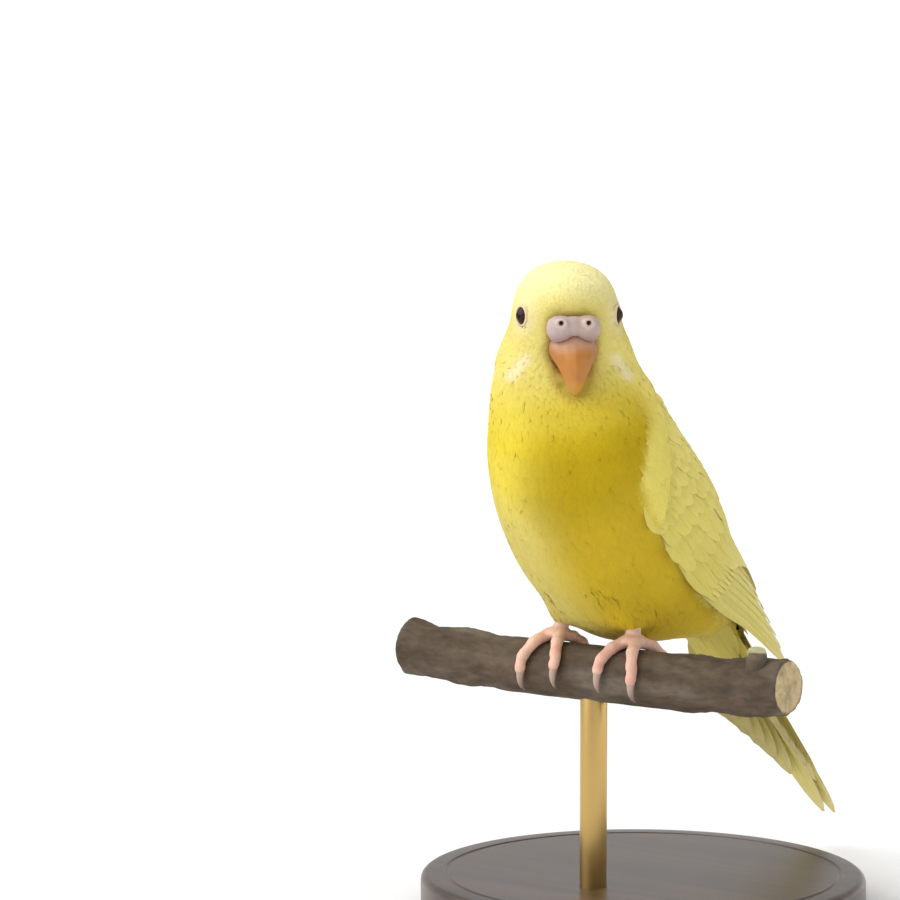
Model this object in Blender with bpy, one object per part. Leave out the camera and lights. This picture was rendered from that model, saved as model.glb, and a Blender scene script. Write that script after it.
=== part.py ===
"""A budgerigar gripping a cut length of branch, held up by a plain display stand."""

import math
import random

import bmesh
import bpy
import numpy as np
from mathutils import Matrix, Vector
from mathutils.bvhtree import BVHTree

MM = 0.001

# The stand, in millimetres
BASE_RADIUS = 50.0
BASE_HEIGHT = 8.0
BASE_EDGE = 1.4
ROD_RADIUS = 3.0
ROD_SOCKET = 5.0
SOCKET_SLACK = 0.3

# The perch: its top is the zero of all the bird's measures
PERCH_TOP = 62.0
PERCH_BACK = -20.0
PERCH_RADIUS = 6.2
PERCH_HALF_LENGTH = 50.0
PERCH_GRIP = 19.0

# Clear space between parts that meet
GAP = 0.3

# The head, measured from the middle of the line through both eyes
HEAD_AT = (-0.7, -10.3, 73.6)
HEAD_TURN = 42.0
HEAD_TILT = -1.0
HEAD_SIDES = 24
EYE_RADIUS = 2.4
EYE_SIDE = 9.1
EYE_FORWARD = 5.6
EYE_AIM = (0.92, 0.4)
LID_RADIUS = 3.1
LID_STAND = 0.75

# Height, half width, reach forward and reach back of each level of the head
HEAD_LEVELS = (
    (11.6, 0.7, -0.6, 2.4),
    (11.2, 3.4, 2.6, 5.6),
    (10.1, 6.4, 5.9, 8.5),
    (8.3, 8.8, 8.9, 10.9),
    (5.9, 10.5, 11.4, 12.9),
    (3.1, 11.4, 12.6, 13.8),
    (0.4, 11.9, 12.9, 14.2),
    (-2.4, 12.5, 12.8, 14.4),
    (-4.8, 13.6, 12.3, 14.5),
    (-8.1, 15.0, 11.2, 14.7),
    (-11.2, 15.9, 10.7, 15.0),
)

# Each station of neck and torso: y, z, pitch, turn, half width, reach forward, reach back
NECK_STATIONS = (
    (-10.3, 62.4, 90.0, 42.0, 15.9, 10.7, 15.0),
    (-10.2, 60.2, 88.0, 36.0, 16.6, 11.0, 15.3),
    (-9.9, 57.3, 84.0, 26.0, 17.4, 12.6, 15.7),
    (-9.5, 54.2, 79.0, 12.0, 18.3, 15.4, 16.0),
    (-9.0, 51.0, 74.0, 0.0, 19.1, 17.8, 16.2),
)
TORSO_STATIONS = (
    (-9.0, 51.0, 74.0, 0.0, 19.1, 17.8, 16.2),
    (-7.5, 46.5, 68.0, 0.0, 20.1, 19.6, 17.6),
    (-4.8, 41.2, 61.0, 0.0, 20.9, 21.2, 18.7),
    (-1.0, 35.8, 55.0, 0.0, 21.9, 22.4, 19.5),
    (4.0, 30.0, 50.0, 0.0, 22.2, 23.4, 20.2),
    (9.5, 24.5, 46.5, 0.0, 21.8, 23.4, 20.3),
    (16.0, 19.0, 43.5, 0.0, 20.4, 22.4, 19.2),
    (23.0, 14.3, 41.5, 0.0, 17.8, 20.0, 16.9),
    (30.5, 10.3, 41.0, 0.0, 14.6, 16.2, 13.5),
    (38.0, 6.3, 43.0, 0.0, 11.2, 12.0, 10.0),
    (44.5, 1.8, 45.0, 0.0, 8.2, 7.4, 6.8),
)
TRUNK_SIDES = 28

# The tail: its root, its slope below level, and the feathers on each side from the middle out
TAIL_ROOT = (44.5, 1.8)
TAIL_SLOPE = 46.0
TAIL_LENGTHS = (80.0, 64.0, 57.0, 51.0, 45.0, 38.0)
TAIL_HALF_WIDTH = 2.8
TAIL_COVER = 27.0

# The folded wing: stations down the back at 45 degrees, each with the x and n of its
# lower edge, of the point its side bulges to and of its upper edge
WING_STATIONS = (
    (-42.0, 15.0, 31.0, 17.0, 36.5, 12.6, 41.0),
    (-39.5, 17.4, 25.5, 19.0, 36.0, 11.6, 43.0),
    (-35.0, 19.6, 18.5, 21.0, 35.0, 9.2, 44.6),
    (-28.0, 20.8, 15.0, 22.2, 34.0, 6.8, 45.6),
    (-20.0, 21.4, 14.2, 22.8, 34.0, 5.4, 45.8),
    (-10.0, 20.8, 14.8, 22.4, 34.0, 4.6, 45.8),
    (0.0, 19.2, 17.0, 21.0, 35.0, 4.0, 45.8),
    (10.0, 17.2, 20.5, 19.2, 36.0, 3.4, 45.8),
    (20.0, 15.0, 25.5, 16.8, 37.0, 3.0, 45.8),
    (30.0, 12.8, 30.0, 14.0, 38.5, 2.8, 45.8),
    (40.0, 10.4, 34.0, 11.2, 40.0, 2.8, 45.4),
    (51.0, 7.8, 38.0, 8.2, 41.4, 3.2, 44.0),
    (61.0, 4.6, 41.0, 4.6, 42.0, 3.8, 42.6),
)
WING_CORE = (
    (-42.0, 0.9),
    (-40.5, 1.6),
    (-36.0, 2.3),
    (-28.0, 2.5),
    (-19.0, 2.4),
    (-10.0, 2.2),
    (-2.0, 2.0),
    (5.0, 1.6),
    (11.0, 1.1),
)
WING_CLEAR = 0.45
WING_MIDDLE = 0.6
VANE_THICK = 0.5
PRIMARY_TIPS = (61.0, 57.0, 51.5, 45.0, 38.5, 32.0)
PRIMARY_PITCH = 2.8
PRIMARY_HALF_WIDTH = 2.0
SECONDARY_TIPS = (13.0, 18.0, 23.0, 28.0, 31.0)
COVERT_COUNT = 7
COVERT_TIERS = ((-16.0, 3.0, (1.2, 2.1)), (-27.0, -9.0, (1.4, 2.6)))

# Legs and feet, measured from the perch's top
FOOT_SIDE = 10.0
THIGH_AT = (7.8, 3.0, 9.6)
THIGH_RADII = (5.6, 8.2, 6.4)
SHANK_RADIUS = 1.7
TOE_RADIUS = 1.45
CLAW_RADIUS = 0.95

SLOTS = {
    "plumage": ((0.70, 0.60, 0.10), 0.85, 0.0),
    "flight_feathers": ((0.62, 0.56, 0.20), 0.75, 0.0),
    "cere_skin": ((0.62, 0.52, 0.52), 0.55, 0.0),
    "horn": ((0.62, 0.33, 0.06), 0.4, 0.0),
    "eye": ((0.02, 0.01, 0.008), 0.08, 0.0),
    "foot_skin": ((0.62, 0.40, 0.33), 0.6, 0.0),
    "bark": ((0.07, 0.055, 0.04), 0.9, 0.0),
    "stand_metal": ((0.45, 0.33, 0.14), 0.35, 1.0),
    "stand_wood": ((0.05, 0.03, 0.02), 0.45, 0.0),
}


def clear_scene():
    for obj in list(bpy.data.objects):
        bpy.data.objects.remove(obj)


def make_collection(name):
    collection = bpy.data.collections.new(name)
    bpy.context.scene.collection.children.link(collection)
    return collection


def make_material(name):
    colour, roughness, metallic = SLOTS[name]
    material = bpy.data.materials.new(name)
    material.use_nodes = True
    shader = material.node_tree.nodes["Principled BSDF"]
    shader.inputs["Base Color"].default_value = (*colour, 1.0)
    shader.inputs["Roughness"].default_value = roughness
    shader.inputs["Metallic"].default_value = metallic
    material.diffuse_color = (*colour, 1.0)
    return material


def smooth_rows(rows, steps):
    """Rows between the given ones on a Catmull-Rom curve, so a few stations make a smooth form."""
    rows = np.array(rows, float)
    ends = [2 * rows[0] - rows[1]], [2 * rows[-1] - rows[-2]]
    padded = np.vstack([ends[0], rows, ends[1]])
    out = []
    for p0, p1, p2, p3 in zip(padded, padded[1:], padded[2:], padded[3:]):
        for step in range(steps):
            t = step / steps
            line = 2 * p1 + (p2 - p0) * t
            bend = (2 * p0 - 5 * p1 + 4 * p2 - p3) * t**2
            twist = (3 * p1 - p0 - 3 * p2 + p3) * t**3
            out.append(0.5 * (line + bend + twist))
    out.append(rows[-1])
    return out


def loft(rings):
    """Points and faces of a skin over equal rings, closed by a flat face at each end."""
    count = len(rings[0])
    points = [point for ring in rings for point in ring]
    faces = [tuple(reversed(range(count)))]
    for row in range(len(rings) - 1):
        start = row * count
        for i in range(count):
            j = (i + 1) % count
            faces.append((start + i, start + j, start + count + j, start + count + i))
    faces.append(tuple(range(len(points) - count, len(points))))
    return points, faces


def write_mesh(name, points, faces):
    mesh = bpy.data.meshes.new(name)
    bm = bmesh.new()
    verts = [bm.verts.new(Vector(point) * MM) for point in points]
    for face in faces:
        bm.faces.new([verts[i] for i in face])
    bmesh.ops.recalc_face_normals(bm, faces=bm.faces)
    for face in bm.faces:
        face.smooth = True
    bm.to_mesh(mesh)
    bm.free()
    return mesh


def solid(name, shape, material, collection):
    obj = bpy.data.objects.new(name, write_mesh(name, *shape))
    obj.data.materials.append(material)
    obj.location = (0.0, PERCH_BACK * MM, PERCH_TOP * MM)
    collection.objects.link(obj)
    return obj


def freeze(obj):
    """Applies the object's modifiers."""
    bpy.context.view_layer.update()
    graph = bpy.context.evaluated_depsgraph_get()
    old = obj.data
    obj.data = bpy.data.meshes.new_from_object(obj.evaluated_get(graph))
    obj.data.name = obj.name
    obj.modifiers.clear()
    bpy.data.meshes.remove(old)


def keep_largest(obj):
    """Leaves the largest closed surface of the object."""
    bm = bmesh.new()
    bm.from_mesh(obj.data)
    left = set(bm.faces)
    pieces = []
    while left:
        piece, edge = set(), [left.pop()]
        while edge:
            face = edge.pop()
            piece.add(face)
            near = {other for side in face.edges for other in side.link_faces} & left
            left -= near
            edge.extend(near)
        pieces.append(piece)
    best = max(pieces, key=len)
    loose = [face for face in bm.faces if face not in best]
    bmesh.ops.delete(bm, geom=loose, context="FACES")
    bm.to_mesh(obj.data)
    bm.free()


def combine(obj, shapes, operation, solver="EXACT"):
    """Joins the shapes to the object or cuts them from it, one Boolean for all."""
    helpers = bpy.data.collections.new("helpers")
    bpy.context.scene.collection.children.link(helpers)
    for shape in shapes:
        solid("helper", shape, obj.data.materials[0], helpers)
    modifier = obj.modifiers.new("Combine", "BOOLEAN")
    modifier.operation = operation
    modifier.solver = solver
    modifier.operand_type = "COLLECTION"
    modifier.collection = helpers
    freeze(obj)
    for helper in list(helpers.objects):
        bpy.data.objects.remove(helper)
    bpy.data.collections.remove(helpers)
    keep_largest(obj)


def ellipsoid(centre, axes, radii, segments=16, rings=10):
    """A sphere stretched along three axes."""
    levels = []
    for row in range(rings + 1):
        tilt = math.pi * row / rings
        tilt = min(max(tilt, 0.06), math.pi - 0.06)
        level = []
        for i in range(segments):
            turn = 2 * math.pi * i / segments
            a = radii[0] * math.sin(tilt) * math.cos(turn)
            b = radii[1] * math.sin(tilt) * math.sin(turn)
            c = radii[2] * math.cos(tilt)
            level.append(centre + axes[0] * a + axes[1] * b + axes[2] * c)
        levels.append(level)
    return loft(levels)


def tube(path, radii, sides):
    """A round tube along a path, its rings square to the path."""
    rings = []
    side = Vector((1.0, 0.0, 0.0))
    for i, (point, radius) in enumerate(zip(path, radii)):
        ahead = path[min(i + 1, len(path) - 1)] - path[max(i - 1, 0)]
        ahead.normalize()
        across = (side - ahead * side.dot(ahead)).normalized()
        over = ahead.cross(across)
        ring = []
        for k in range(sides):
            turn = 2 * math.pi * k / sides
            ring.append(point + across * (radius * math.cos(turn)) + over * (radius * math.sin(turn)))
        rings.append(ring)
    return loft(rings)


# The head's own axes


def head_axes():
    turn = Matrix.Rotation(math.radians(HEAD_TURN), 3, "Z")
    tilt = Matrix.Rotation(math.radians(HEAD_TILT), 3, "Y")
    frame = turn @ tilt
    return frame @ Vector((1, 0, 0)), frame @ Vector((0, -1, 0)), frame @ Vector((0, 0, 1))


LEFT, FORWARD, UP = head_axes()


def head_point(side, forward, height):
    return Vector(HEAD_AT) + LEFT * side + FORWARD * forward + UP * height


def head_shape():
    rings = []
    for height, width, front, back in smooth_rows(HEAD_LEVELS, 2):
        middle = (front - back) / 2
        reach = (front + back) / 2
        ring = []
        for i in range(HEAD_SIDES):
            turn = 2 * math.pi * i / HEAD_SIDES
            ring.append(
                head_point(width * math.sin(turn), middle - reach * math.cos(turn), height)
            )
        rings.append(ring)
    return loft(rings)


def trunk_ring(row, sides=TRUNK_SIDES, grow=0.0, shift=0.0):
    """A ring of the neck or torso, moved along its own axis by the shift."""
    y, z, pitch, yaw, width, front, back = row
    lean = math.radians(90.0 - pitch)
    turn = Matrix.Rotation(math.radians(yaw), 3, "Z")
    across = turn @ Vector((1, 0, 0))
    rear = turn @ Vector((0, math.cos(lean), math.sin(lean)))
    along = turn @ Vector((0, math.sin(lean), -math.cos(lean)))
    tilt = Matrix.Rotation(math.radians(HEAD_TILT * yaw / HEAD_TURN), 3, rear)
    across = tilt @ across
    along = tilt @ along
    centre = Vector((0, y, z)) + along * shift
    ring = []
    for i in range(sides):
        a = 2 * math.pi * i / sides + math.radians(yaw)
        depth = (back if math.cos(a) > 0 else front) + grow
        ring.append(
            centre + across * ((width + grow) * math.sin(a)) + rear * (depth * math.cos(a))
        )
    return ring


def trunk_shape(stations, steps, grow=0.0):
    rows = smooth_rows(stations, steps)
    rings = [trunk_ring(row, grow=grow) for row in rows]
    rings[0] = trunk_ring(rows[0], grow=grow, shift=GAP / 2 - grow)
    rings[-1] = trunk_ring(rows[-1], grow=grow, shift=grow - GAP / 2)
    return loft(rings)


# Beak, cere and eyes

UPPER_BEAK = (
    (9.0, -6.6, 5.1, 3.9),
    (11.3, -7.3, 5.2, 3.9),
    (12.8, -8.9, 4.7, 3.3),
    (13.6, -10.8, 3.9, 2.7),
    (13.8, -12.8, 2.9, 2.0),
    (13.3, -14.8, 1.8, 1.25),
    (12.5, -16.4, 0.6, 0.45),
)
LOWER_BEAK = (
    (6.0, -8.4, 3.6, 2.0),
    (8.8, -9.6, 3.6, 2.0),
    (10.9, -11.2, 2.9, 1.5),
    (12.0, -12.8, 1.6, 0.7),
)


def beak_shape(rows, steps, sides, grow=0.0):
    rows = smooth_rows(rows, steps)
    rings = []
    for i, (forward, height, width, thick) in enumerate(rows):
        ahead = rows[min(i + 1, len(rows) - 1)] - rows[max(i - 1, 0)]
        slope = math.atan2(-ahead[1], ahead[0])
        over = Vector((math.sin(slope), math.cos(slope)))
        end = {0: -grow, len(rows) - 1: grow}.get(i, 0.0)
        forward += math.cos(slope) * end
        height -= math.sin(slope) * end
        ring = []
        for k in range(sides):
            turn = 2 * math.pi * k / sides
            side = (width + grow) * math.sin(turn)
            rise = (thick + grow) * math.cos(turn)
            ring.append(head_point(side, forward + over.x * rise, height + over.y * rise))
        rings.append(ring)
    return loft(rings)


def cere_shapes(grow=0.0):
    axes = (LEFT, FORWARD, UP)
    parts = []
    for side, forward, height, radii in (
        (3.0, 12.5, -2.2, (3.2, 2.6, 3.4)),
        (-3.0, 12.5, -2.2, (3.2, 2.6, 3.4)),
        (0.0, 12.4, -1.8, (3.6, 2.3, 2.7)),
    ):
        centre = head_point(side, forward, height)
        parts.append(ellipsoid(centre, axes, [r + grow for r in radii], 12, 8))
    return parts


def nostrils():
    axes = (LEFT, UP, FORWARD)
    spots = []
    for side in (3.1, -3.1):
        spots.append(ellipsoid(head_point(side, 15.0, -1.0), axes, (0.75, 0.8, 1.6), 10, 8))
    return spots


def eye_centre(side):
    return head_point(side * EYE_SIDE, EYE_FORWARD, 0.0)


def eye_axes(side):
    out = (LEFT * side * EYE_AIM[0] + FORWARD * EYE_AIM[1]).normalized()
    return UP.cross(out).normalized(), UP.copy(), out


def eye_shape(side, radius):
    return ellipsoid(eye_centre(side), eye_axes(side), (radius,) * 3, 14, 8)


def lid_shape(side):
    out = eye_axes(side)[2]
    return ellipsoid(
        eye_centre(side) + out * 1.55, eye_axes(side), (LID_RADIUS, LID_RADIUS, LID_STAND), 14, 6
    )


# Wings


def wing_row(t):
    table = np.array(WING_STATIONS)
    return [np.interp(t, table[:, 0], table[:, k]) for k in range(1, 7)]


def wing_point(t, d, h, body):
    """A point of the left wing: t down the back, d in from the lower edge, h off the body."""
    xl, nl, xc, nc, xu, nu = wing_row(t)
    low, out, top = Vector((xl, nl)), Vector((xc, nc)), Vector((xu, nu))
    length = ((out - low).length + (top - out).length + (top - low).length) / 2
    u = d / length
    flat = low * (1 - u) ** 2 + out * (2 * u * (1 - u)) + top * u**2
    run = (out - low) * (1 - u) + (top - out) * u
    off = Vector((run.y, -run.x)).normalized()
    flat += off * h
    flat.x = max(flat.x, WING_MIDDLE)
    point = Vector((flat.x, (t + flat.y) / math.sqrt(2), (flat.y - t) / math.sqrt(2)))
    near, normal, _, _ = body.find_nearest(point)
    if (point - near).dot(normal) < h + WING_CLEAR:
        point = near + normal * (h + WING_CLEAR)
    point.x = max(point.x, WING_MIDDLE)
    return point


def wing_width(t):
    xl, nl, xc, nc, xu, nu = wing_row(t)
    low, out, top = Vector((xl, nl)), Vector((xc, nc)), Vector((xu, nu))
    return ((out - low).length + (top - out).length + (top - low).length) / 2


def wing_core(body):
    rings = []
    across = 7
    for t, thick in smooth_rows(WING_CORE, 2):
        width = wing_width(t)
        under, over = [], []
        for i in range(across):
            u = 0.02 + 0.96 * i / (across - 1)
            round_off = math.sqrt(max(0.0, 1 - abs(2 * u - 1) ** 3))
            under.append(wing_point(t, u * width, 0.0, body))
            over.append(wing_point(t, u * width, 0.5 + (thick - 0.5) * round_off, body))
        rings.append(under + over[::-1])
    return loft(rings)


def blade(rows):
    """A thin blade from rows of three under points and three over points, split alike on both."""
    points, faces = [], []
    for under, over in rows:
        points += list(under) + list(over)
    for row in range(len(rows) - 1):
        a = row * 6
        b = a + 6
        for i in range(2):
            faces.append((a + i, a + i + 1, b + i + 1))
            faces.append((a + i, b + i + 1, b + i))
            faces.append((a + 3 + i, b + 4 + i, a + 4 + i))
            faces.append((a + 3 + i, b + 3 + i, b + 4 + i))
        faces.append((a, b, b + 3, a + 3))
        faces.append((a + 2, a + 5, b + 5, b + 2))
    last = (len(rows) - 1) * 6
    for i in range(2):
        faces.append((i, i + 3, i + 4, i + 1))
        faces.append((last + i, last + i + 1, last + i + 4, last + i + 3))
    return points, faces


LONG_PROFILE = ((0.0, 0.8), (0.22, 1.0), (0.45, 1.0), (0.68, 0.93), (0.88, 0.66), (1.0, 0.12))
VANE_PROFILE = ((0.0, 0.8), (0.3, 1.0), (0.6, 0.95), (0.88, 0.66), (1.0, 0.12))
SHORT_PROFILE = ((0.0, 0.8), (0.55, 1.0), (0.85, 0.7), (1.0, 0.15))


def wing_vane(body, root, tip, middle, half, lift, tilt, profile=VANE_PROFILE):
    """One feather: root and tip in t, middle line and half width in d, lift and lower edge's tilt in h."""
    rows = []
    for s, share in profile:
        t = root + (tip - root) * s
        d = middle[0] + (middle[1] - middle[0]) * s
        h = lift[0] + (lift[1] - lift[0]) * min(1.0, s * 1.8)
        spread = half * share
        places = (d - spread, d, d + spread)
        lifts = (h + tilt, h + tilt / 2, h)
        under = [wing_point(t, place, high, body) for place, high in zip(places, lifts)]
        over = [wing_point(t, place, high + VANE_THICK, body) for place, high in zip(places, lifts)]
        rows.append((under, over))
    return blade(rows)


def wing_vanes(body):
    vanes = []
    for k, tip in enumerate(PRIMARY_TIPS):
        middle = PRIMARY_PITCH * (k + 0.5) + 0.4
        start = (middle, min(middle, wing_width(tip) * (0.3 if k == 0 else 0.6)))
        vanes.append(
            wing_vane(body, -2.0, tip, start, PRIMARY_HALF_WIDTH, (0.2, 0.1), 0.65, LONG_PROFILE)
        )
    for k, tip in enumerate(SECONDARY_TIPS):
        start = wing_width(-6.0) * (0.30 + 0.155 * k)
        end = wing_width(tip) * (0.42 + 0.13 * k)
        vanes.append(wing_vane(body, -8.0, tip, (start, end), 2.3, (0.9, 1.35), 0.6))
    for root, tip, lift in COVERT_TIERS:
        for k in range(COVERT_COUNT):
            share = (k + 0.5) / COVERT_COUNT
            start = wing_width(root) * share
            end = wing_width(tip) * share
            half = wing_width(tip) / COVERT_COUNT / 2 + 0.25
            bow = 3.0 * math.sin(math.pi * share)
            vanes.append(
                wing_vane(body, root, tip + bow, (start, end), half, lift, 0.45, SHORT_PROFILE)
            )
    return vanes


def mirrored(obj, name, collection):
    copy = bpy.data.objects.new(name, obj.data.copy())
    copy.data.transform(Matrix.Scale(-1, 4, Vector((1, 0, 0))))
    copy.data.flip_normals()
    copy.data.name = name
    copy.location = obj.location
    collection.objects.link(copy)
    return copy


# Tail


def tail_point(s, x, level):
    slope = math.radians(TAIL_SLOPE)
    along = Vector((0, math.cos(slope), -math.sin(slope)))
    over = Vector((0, math.sin(slope), math.cos(slope)))
    return Vector((x, TAIL_ROOT[0], TAIL_ROOT[1])) + along * s + over * level


def tail_core():
    rows = []
    for s, width, under, over in (
        (GAP / 2, 8.0, 7.2, 6.6),
        (7.0, 7.0, 5.6, 5.6),
        (15.0, 6.0, 3.9, 4.4),
        (22.0, 4.8, 2.3, 3.2),
        (TAIL_COVER, 3.4, 0.8, 2.4),
    ):
        ring = []
        for i in range(18):
            a = 2 * math.pi * i / 18
            height = over if math.cos(a) > 0 else under
            ring.append(tail_point(s, width * math.sin(a), height * math.cos(a)))
        rows.append(ring)
    return loft(rows)


def tail_vane(side, offset, level, length, half):
    rows = []
    for s, share in VANE_PROFILE:
        along = 6.0 + (length - 6.0) * s
        middle = side * offset * (0.55 + 0.45 * min(1.0, s * 2))
        spread = half * share
        height = level
        under, over = [], []
        for x in (middle - spread, middle, middle + spread):
            drop = 0.035 * x * x
            under.append(tail_point(along, x, height - drop))
            over.append(tail_point(along, x, height - drop + VANE_THICK))
        rows.append((under, over))
    return blade(rows)


def tail_vanes():
    vanes = [
        tail_vane(1, 1.1, 3.0, TAIL_LENGTHS[0], 3.0),
        tail_vane(-1, 1.1, 2.1, TAIL_LENGTHS[0] - 1.5, 3.0),
    ]
    for k in range(1, len(TAIL_LENGTHS)):
        for side in (1, -1):
            offset = TAIL_HALF_WIDTH + 0.25 + 0.75 * (k - 1)
            vanes.append(
                tail_vane(side, offset, 2.1 - 0.85 * k, TAIL_LENGTHS[k], TAIL_HALF_WIDTH)
            )
    return vanes


# Legs, feet and perch


def foot_path(side, sideways, start, end, count, radii):
    """Points round the perch from its top, forward for positive angles."""
    points = []
    for i in range(count):
        share = i / (count - 1)
        angle = math.radians(start + (end - start) * share)
        reach = PERCH_RADIUS + GAP + radii[i]
        x = side * FOOT_SIDE + sideways[0] + (sideways[1] - sideways[0]) * min(1.0, share * 1.3)
        points.append(Vector((x, -reach * math.sin(angle), -PERCH_RADIUS + reach * math.cos(angle))))
    return points


TOES = ((1.0, 4.6, 92.0), (-1.0, -4.2, 80.0), (1.2, 4.2, -84.0), (-1.2, -3.6, -62.0))


def foot_shapes(side, grow=0.0):
    shapes = []
    for root, splay, bend in TOES:
        sign = 1 if bend > 0 else -1
        toe = [TOE_RADIUS, 1.5, 1.4, 1.4, 1.3, CLAW_RADIUS, 0.65, 0.25]
        path = foot_path(side, (side * root, side * splay), -6.0 * sign, bend + 34.0 * sign, len(toe), toe)
        shapes.append(tube(path, [radius + grow for radius in toe], 8))
    return shapes


def foot_pad(side, grow=0.0):
    axes = (Vector((1, 0, 0)), Vector((0, 1, 0)), Vector((0, 0, 1)))
    radii = [radius + grow for radius in (2.9, 3.3, 1.45)]
    return ellipsoid(Vector((side * FOOT_SIDE, 0.4, 1.85)), axes, radii, 12, 8)


def leg_shapes(side):
    axes = (Vector((1, 0, 0)), Vector((0, 1, 0)), Vector((0, 0, 1)))
    x, y, z = THIGH_AT
    thigh = ellipsoid(Vector((side * x, y, z)), axes, THIGH_RADII, 18, 12)
    top = Vector((side * (FOOT_SIDE - 1.2), 2.2, 9.0))
    foot = Vector((side * FOOT_SIDE, 0.6, 3.0))
    middle = (top + foot) / 2
    return thigh, tube([foot, middle, top], [SHANK_RADIUS, SHANK_RADIUS + 0.1, 2.2], 10)


def perch_shape(seed=4):
    chance = random.Random(seed)
    waves = [(chance.uniform(0.05, 0.16), chance.uniform(0, 6.28), k) for k in (1, 2, 3)]
    rings = []
    sides = 16
    inner = [-PERCH_HALF_LENGTH + 0.6 + (2 * PERCH_HALF_LENGTH - 1.2) * i / 15 for i in range(16)]
    stations = [-PERCH_HALF_LENGTH] + inner + [PERCH_HALF_LENGTH]
    for x in stations:
        past = max(0.0, abs(x) - PERCH_GRIP)
        free = min(1.0, past / 8.0)
        end = 0.5 if abs(x) == PERCH_HALF_LENGTH else 0.0
        bow = 1.6 * (past / (PERCH_HALF_LENGTH - PERCH_GRIP)) ** 2
        ring = []
        for i in range(sides):
            a = 2 * math.pi * i / sides
            bump = sum(size * math.sin(k * a + phase + x * 0.21 * k) for size, phase, k in waves)
            radius = PERCH_RADIUS - end + free * (bump + 0.25 * math.sin(x * 0.33))
            ring.append(
                Vector((x, radius * math.cos(a), -PERCH_RADIUS + bow + radius * math.sin(a)))
            )
        rings.append(ring)
    return loft(rings)


def build():
    clear_scene()
    parts = make_collection("budgerigar")
    slots = {name: make_material(name) for name in SLOTS}

    # Torso, neck and head
    torso = solid("torso", trunk_shape(TORSO_STATIONS, 2), slots["plumage"], parts)
    neck = solid("neck", trunk_shape(NECK_STATIONS, 2), slots["plumage"], parts)
    head = solid("head", head_shape(), slots["plumage"], parts)
    combine(head, [lid_shape(1), lid_shape(-1)], "UNION")
    combine(
        head,
        [eye_shape(side, EYE_RADIUS + GAP) for side in (1, -1)]
        + [beak_shape(UPPER_BEAK, 2, 16, GAP), beak_shape(LOWER_BEAK, 2, 12, GAP)]
        + cere_shapes(GAP),
        "DIFFERENCE",
    )
    beaks = [beak_shape(UPPER_BEAK, 2, 16, GAP), beak_shape(LOWER_BEAK, 2, 12, GAP)]
    combine(neck, beaks, "DIFFERENCE")
    solid("eye_left", eye_shape(1, EYE_RADIUS), slots["eye"], parts)
    solid("eye_right", eye_shape(-1, EYE_RADIUS), slots["eye"], parts)
    solid("beak_upper", beak_shape(UPPER_BEAK, 2, 16), slots["horn"], parts)
    lower = solid("beak_lower", beak_shape(LOWER_BEAK, 2, 12), slots["horn"], parts)
    combine(lower, [beak_shape(UPPER_BEAK, 2, 16, GAP)], "DIFFERENCE")
    lobes = cere_shapes()
    cere = solid("cere", lobes[0], slots["cere_skin"], parts)
    combine(cere, lobes[1:], "UNION")
    combine(cere, nostrils() + [beak_shape(UPPER_BEAK, 2, 16, GAP)], "DIFFERENCE")

    # Tail
    tail = solid("tail", tail_core(), slots["flight_feathers"], parts)
    combine(tail, tail_vanes(), "UNION")

    # Wings, lying on torso, neck and tail
    points, faces = [], []
    for shape in (trunk_shape(NECK_STATIONS[:-1] + TORSO_STATIONS, 2), tail_core()):
        faces += [tuple(i + len(points) for i in face) for face in shape[1]]
        points += shape[0]
    body = BVHTree.FromPolygons(points, faces)
    wing = solid("wing_left", wing_core(body), slots["flight_feathers"], parts)
    combine(wing, wing_vanes(body), "UNION", "MANIFOLD")
    mirrored(wing, "wing_right", parts)

    # Legs and feet
    for side, name in ((1, "left"), (-1, "right")):
        thigh, shank = leg_shapes(side)
        leg = solid("leg_" + name, thigh, slots["plumage"], parts)
        combine(leg, [shank], "UNION")
        clear = [trunk_shape(TORSO_STATIONS, 2, GAP), foot_pad(side, GAP)]
        combine(leg, clear + foot_shapes(side, GAP), "DIFFERENCE")
        foot = solid("foot_" + name, foot_pad(side), slots["foot_skin"], parts)
        combine(foot, foot_shapes(side), "UNION")

    # Perch and stand
    perch = solid("perch", perch_shape(), slots["bark"], parts)
    socket = Vector((0, 0, -2 * PERCH_RADIUS))
    rod_foot = Vector((0, 0, BASE_HEIGHT - ROD_SOCKET - PERCH_TOP))
    rod_top = socket + Vector((0, 0, ROD_SOCKET))
    slack = Vector((0, 0, SOCKET_SLACK))
    knot = [Vector((43.0, -1.5, -4.0)), Vector((43.8, -3.0, 0.0)), Vector((44.4, -4.0, 3.2))]
    combine(perch, [tube(knot, [3.0, 2.5, 2.2], 10)], "UNION")
    wide = [ROD_RADIUS + SOCKET_SLACK] * 2
    combine(perch, [tube([socket - slack * 10, rod_top + slack], wide, 24)], "DIFFERENCE")
    solid("stand_rod", tube([rod_foot, rod_top], [ROD_RADIUS] * 2, 24), slots["stand_metal"], parts)
    base = solid("stand_base", ([], []), slots["stand_wood"], parts)
    bm = bmesh.new()
    bmesh.ops.create_cone(
        bm,
        cap_ends=True,
        segments=48,
        radius1=BASE_RADIUS * MM,
        radius2=BASE_RADIUS * MM,
        depth=BASE_HEIGHT * MM,
        matrix=Matrix.Translation((0, 0, BASE_HEIGHT / 2 * MM)),
    )
    top_rim = [edge for edge in bm.edges if all(v.co.z > BASE_HEIGHT / 2 * MM for v in edge.verts)]
    bmesh.ops.bevel(bm, geom=top_rim, offset=BASE_EDGE * MM, segments=2, profile=0.5, affect="EDGES")
    bm.to_mesh(base.data)
    bm.free()
    base.location = (0, 0, 0)
    hole = [rod_foot - slack, rod_foot + Vector((0, 0, ROD_SOCKET + 5))]
    combine(base, [tube(hole, wide, 24)], "DIFFERENCE")


build()
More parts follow.
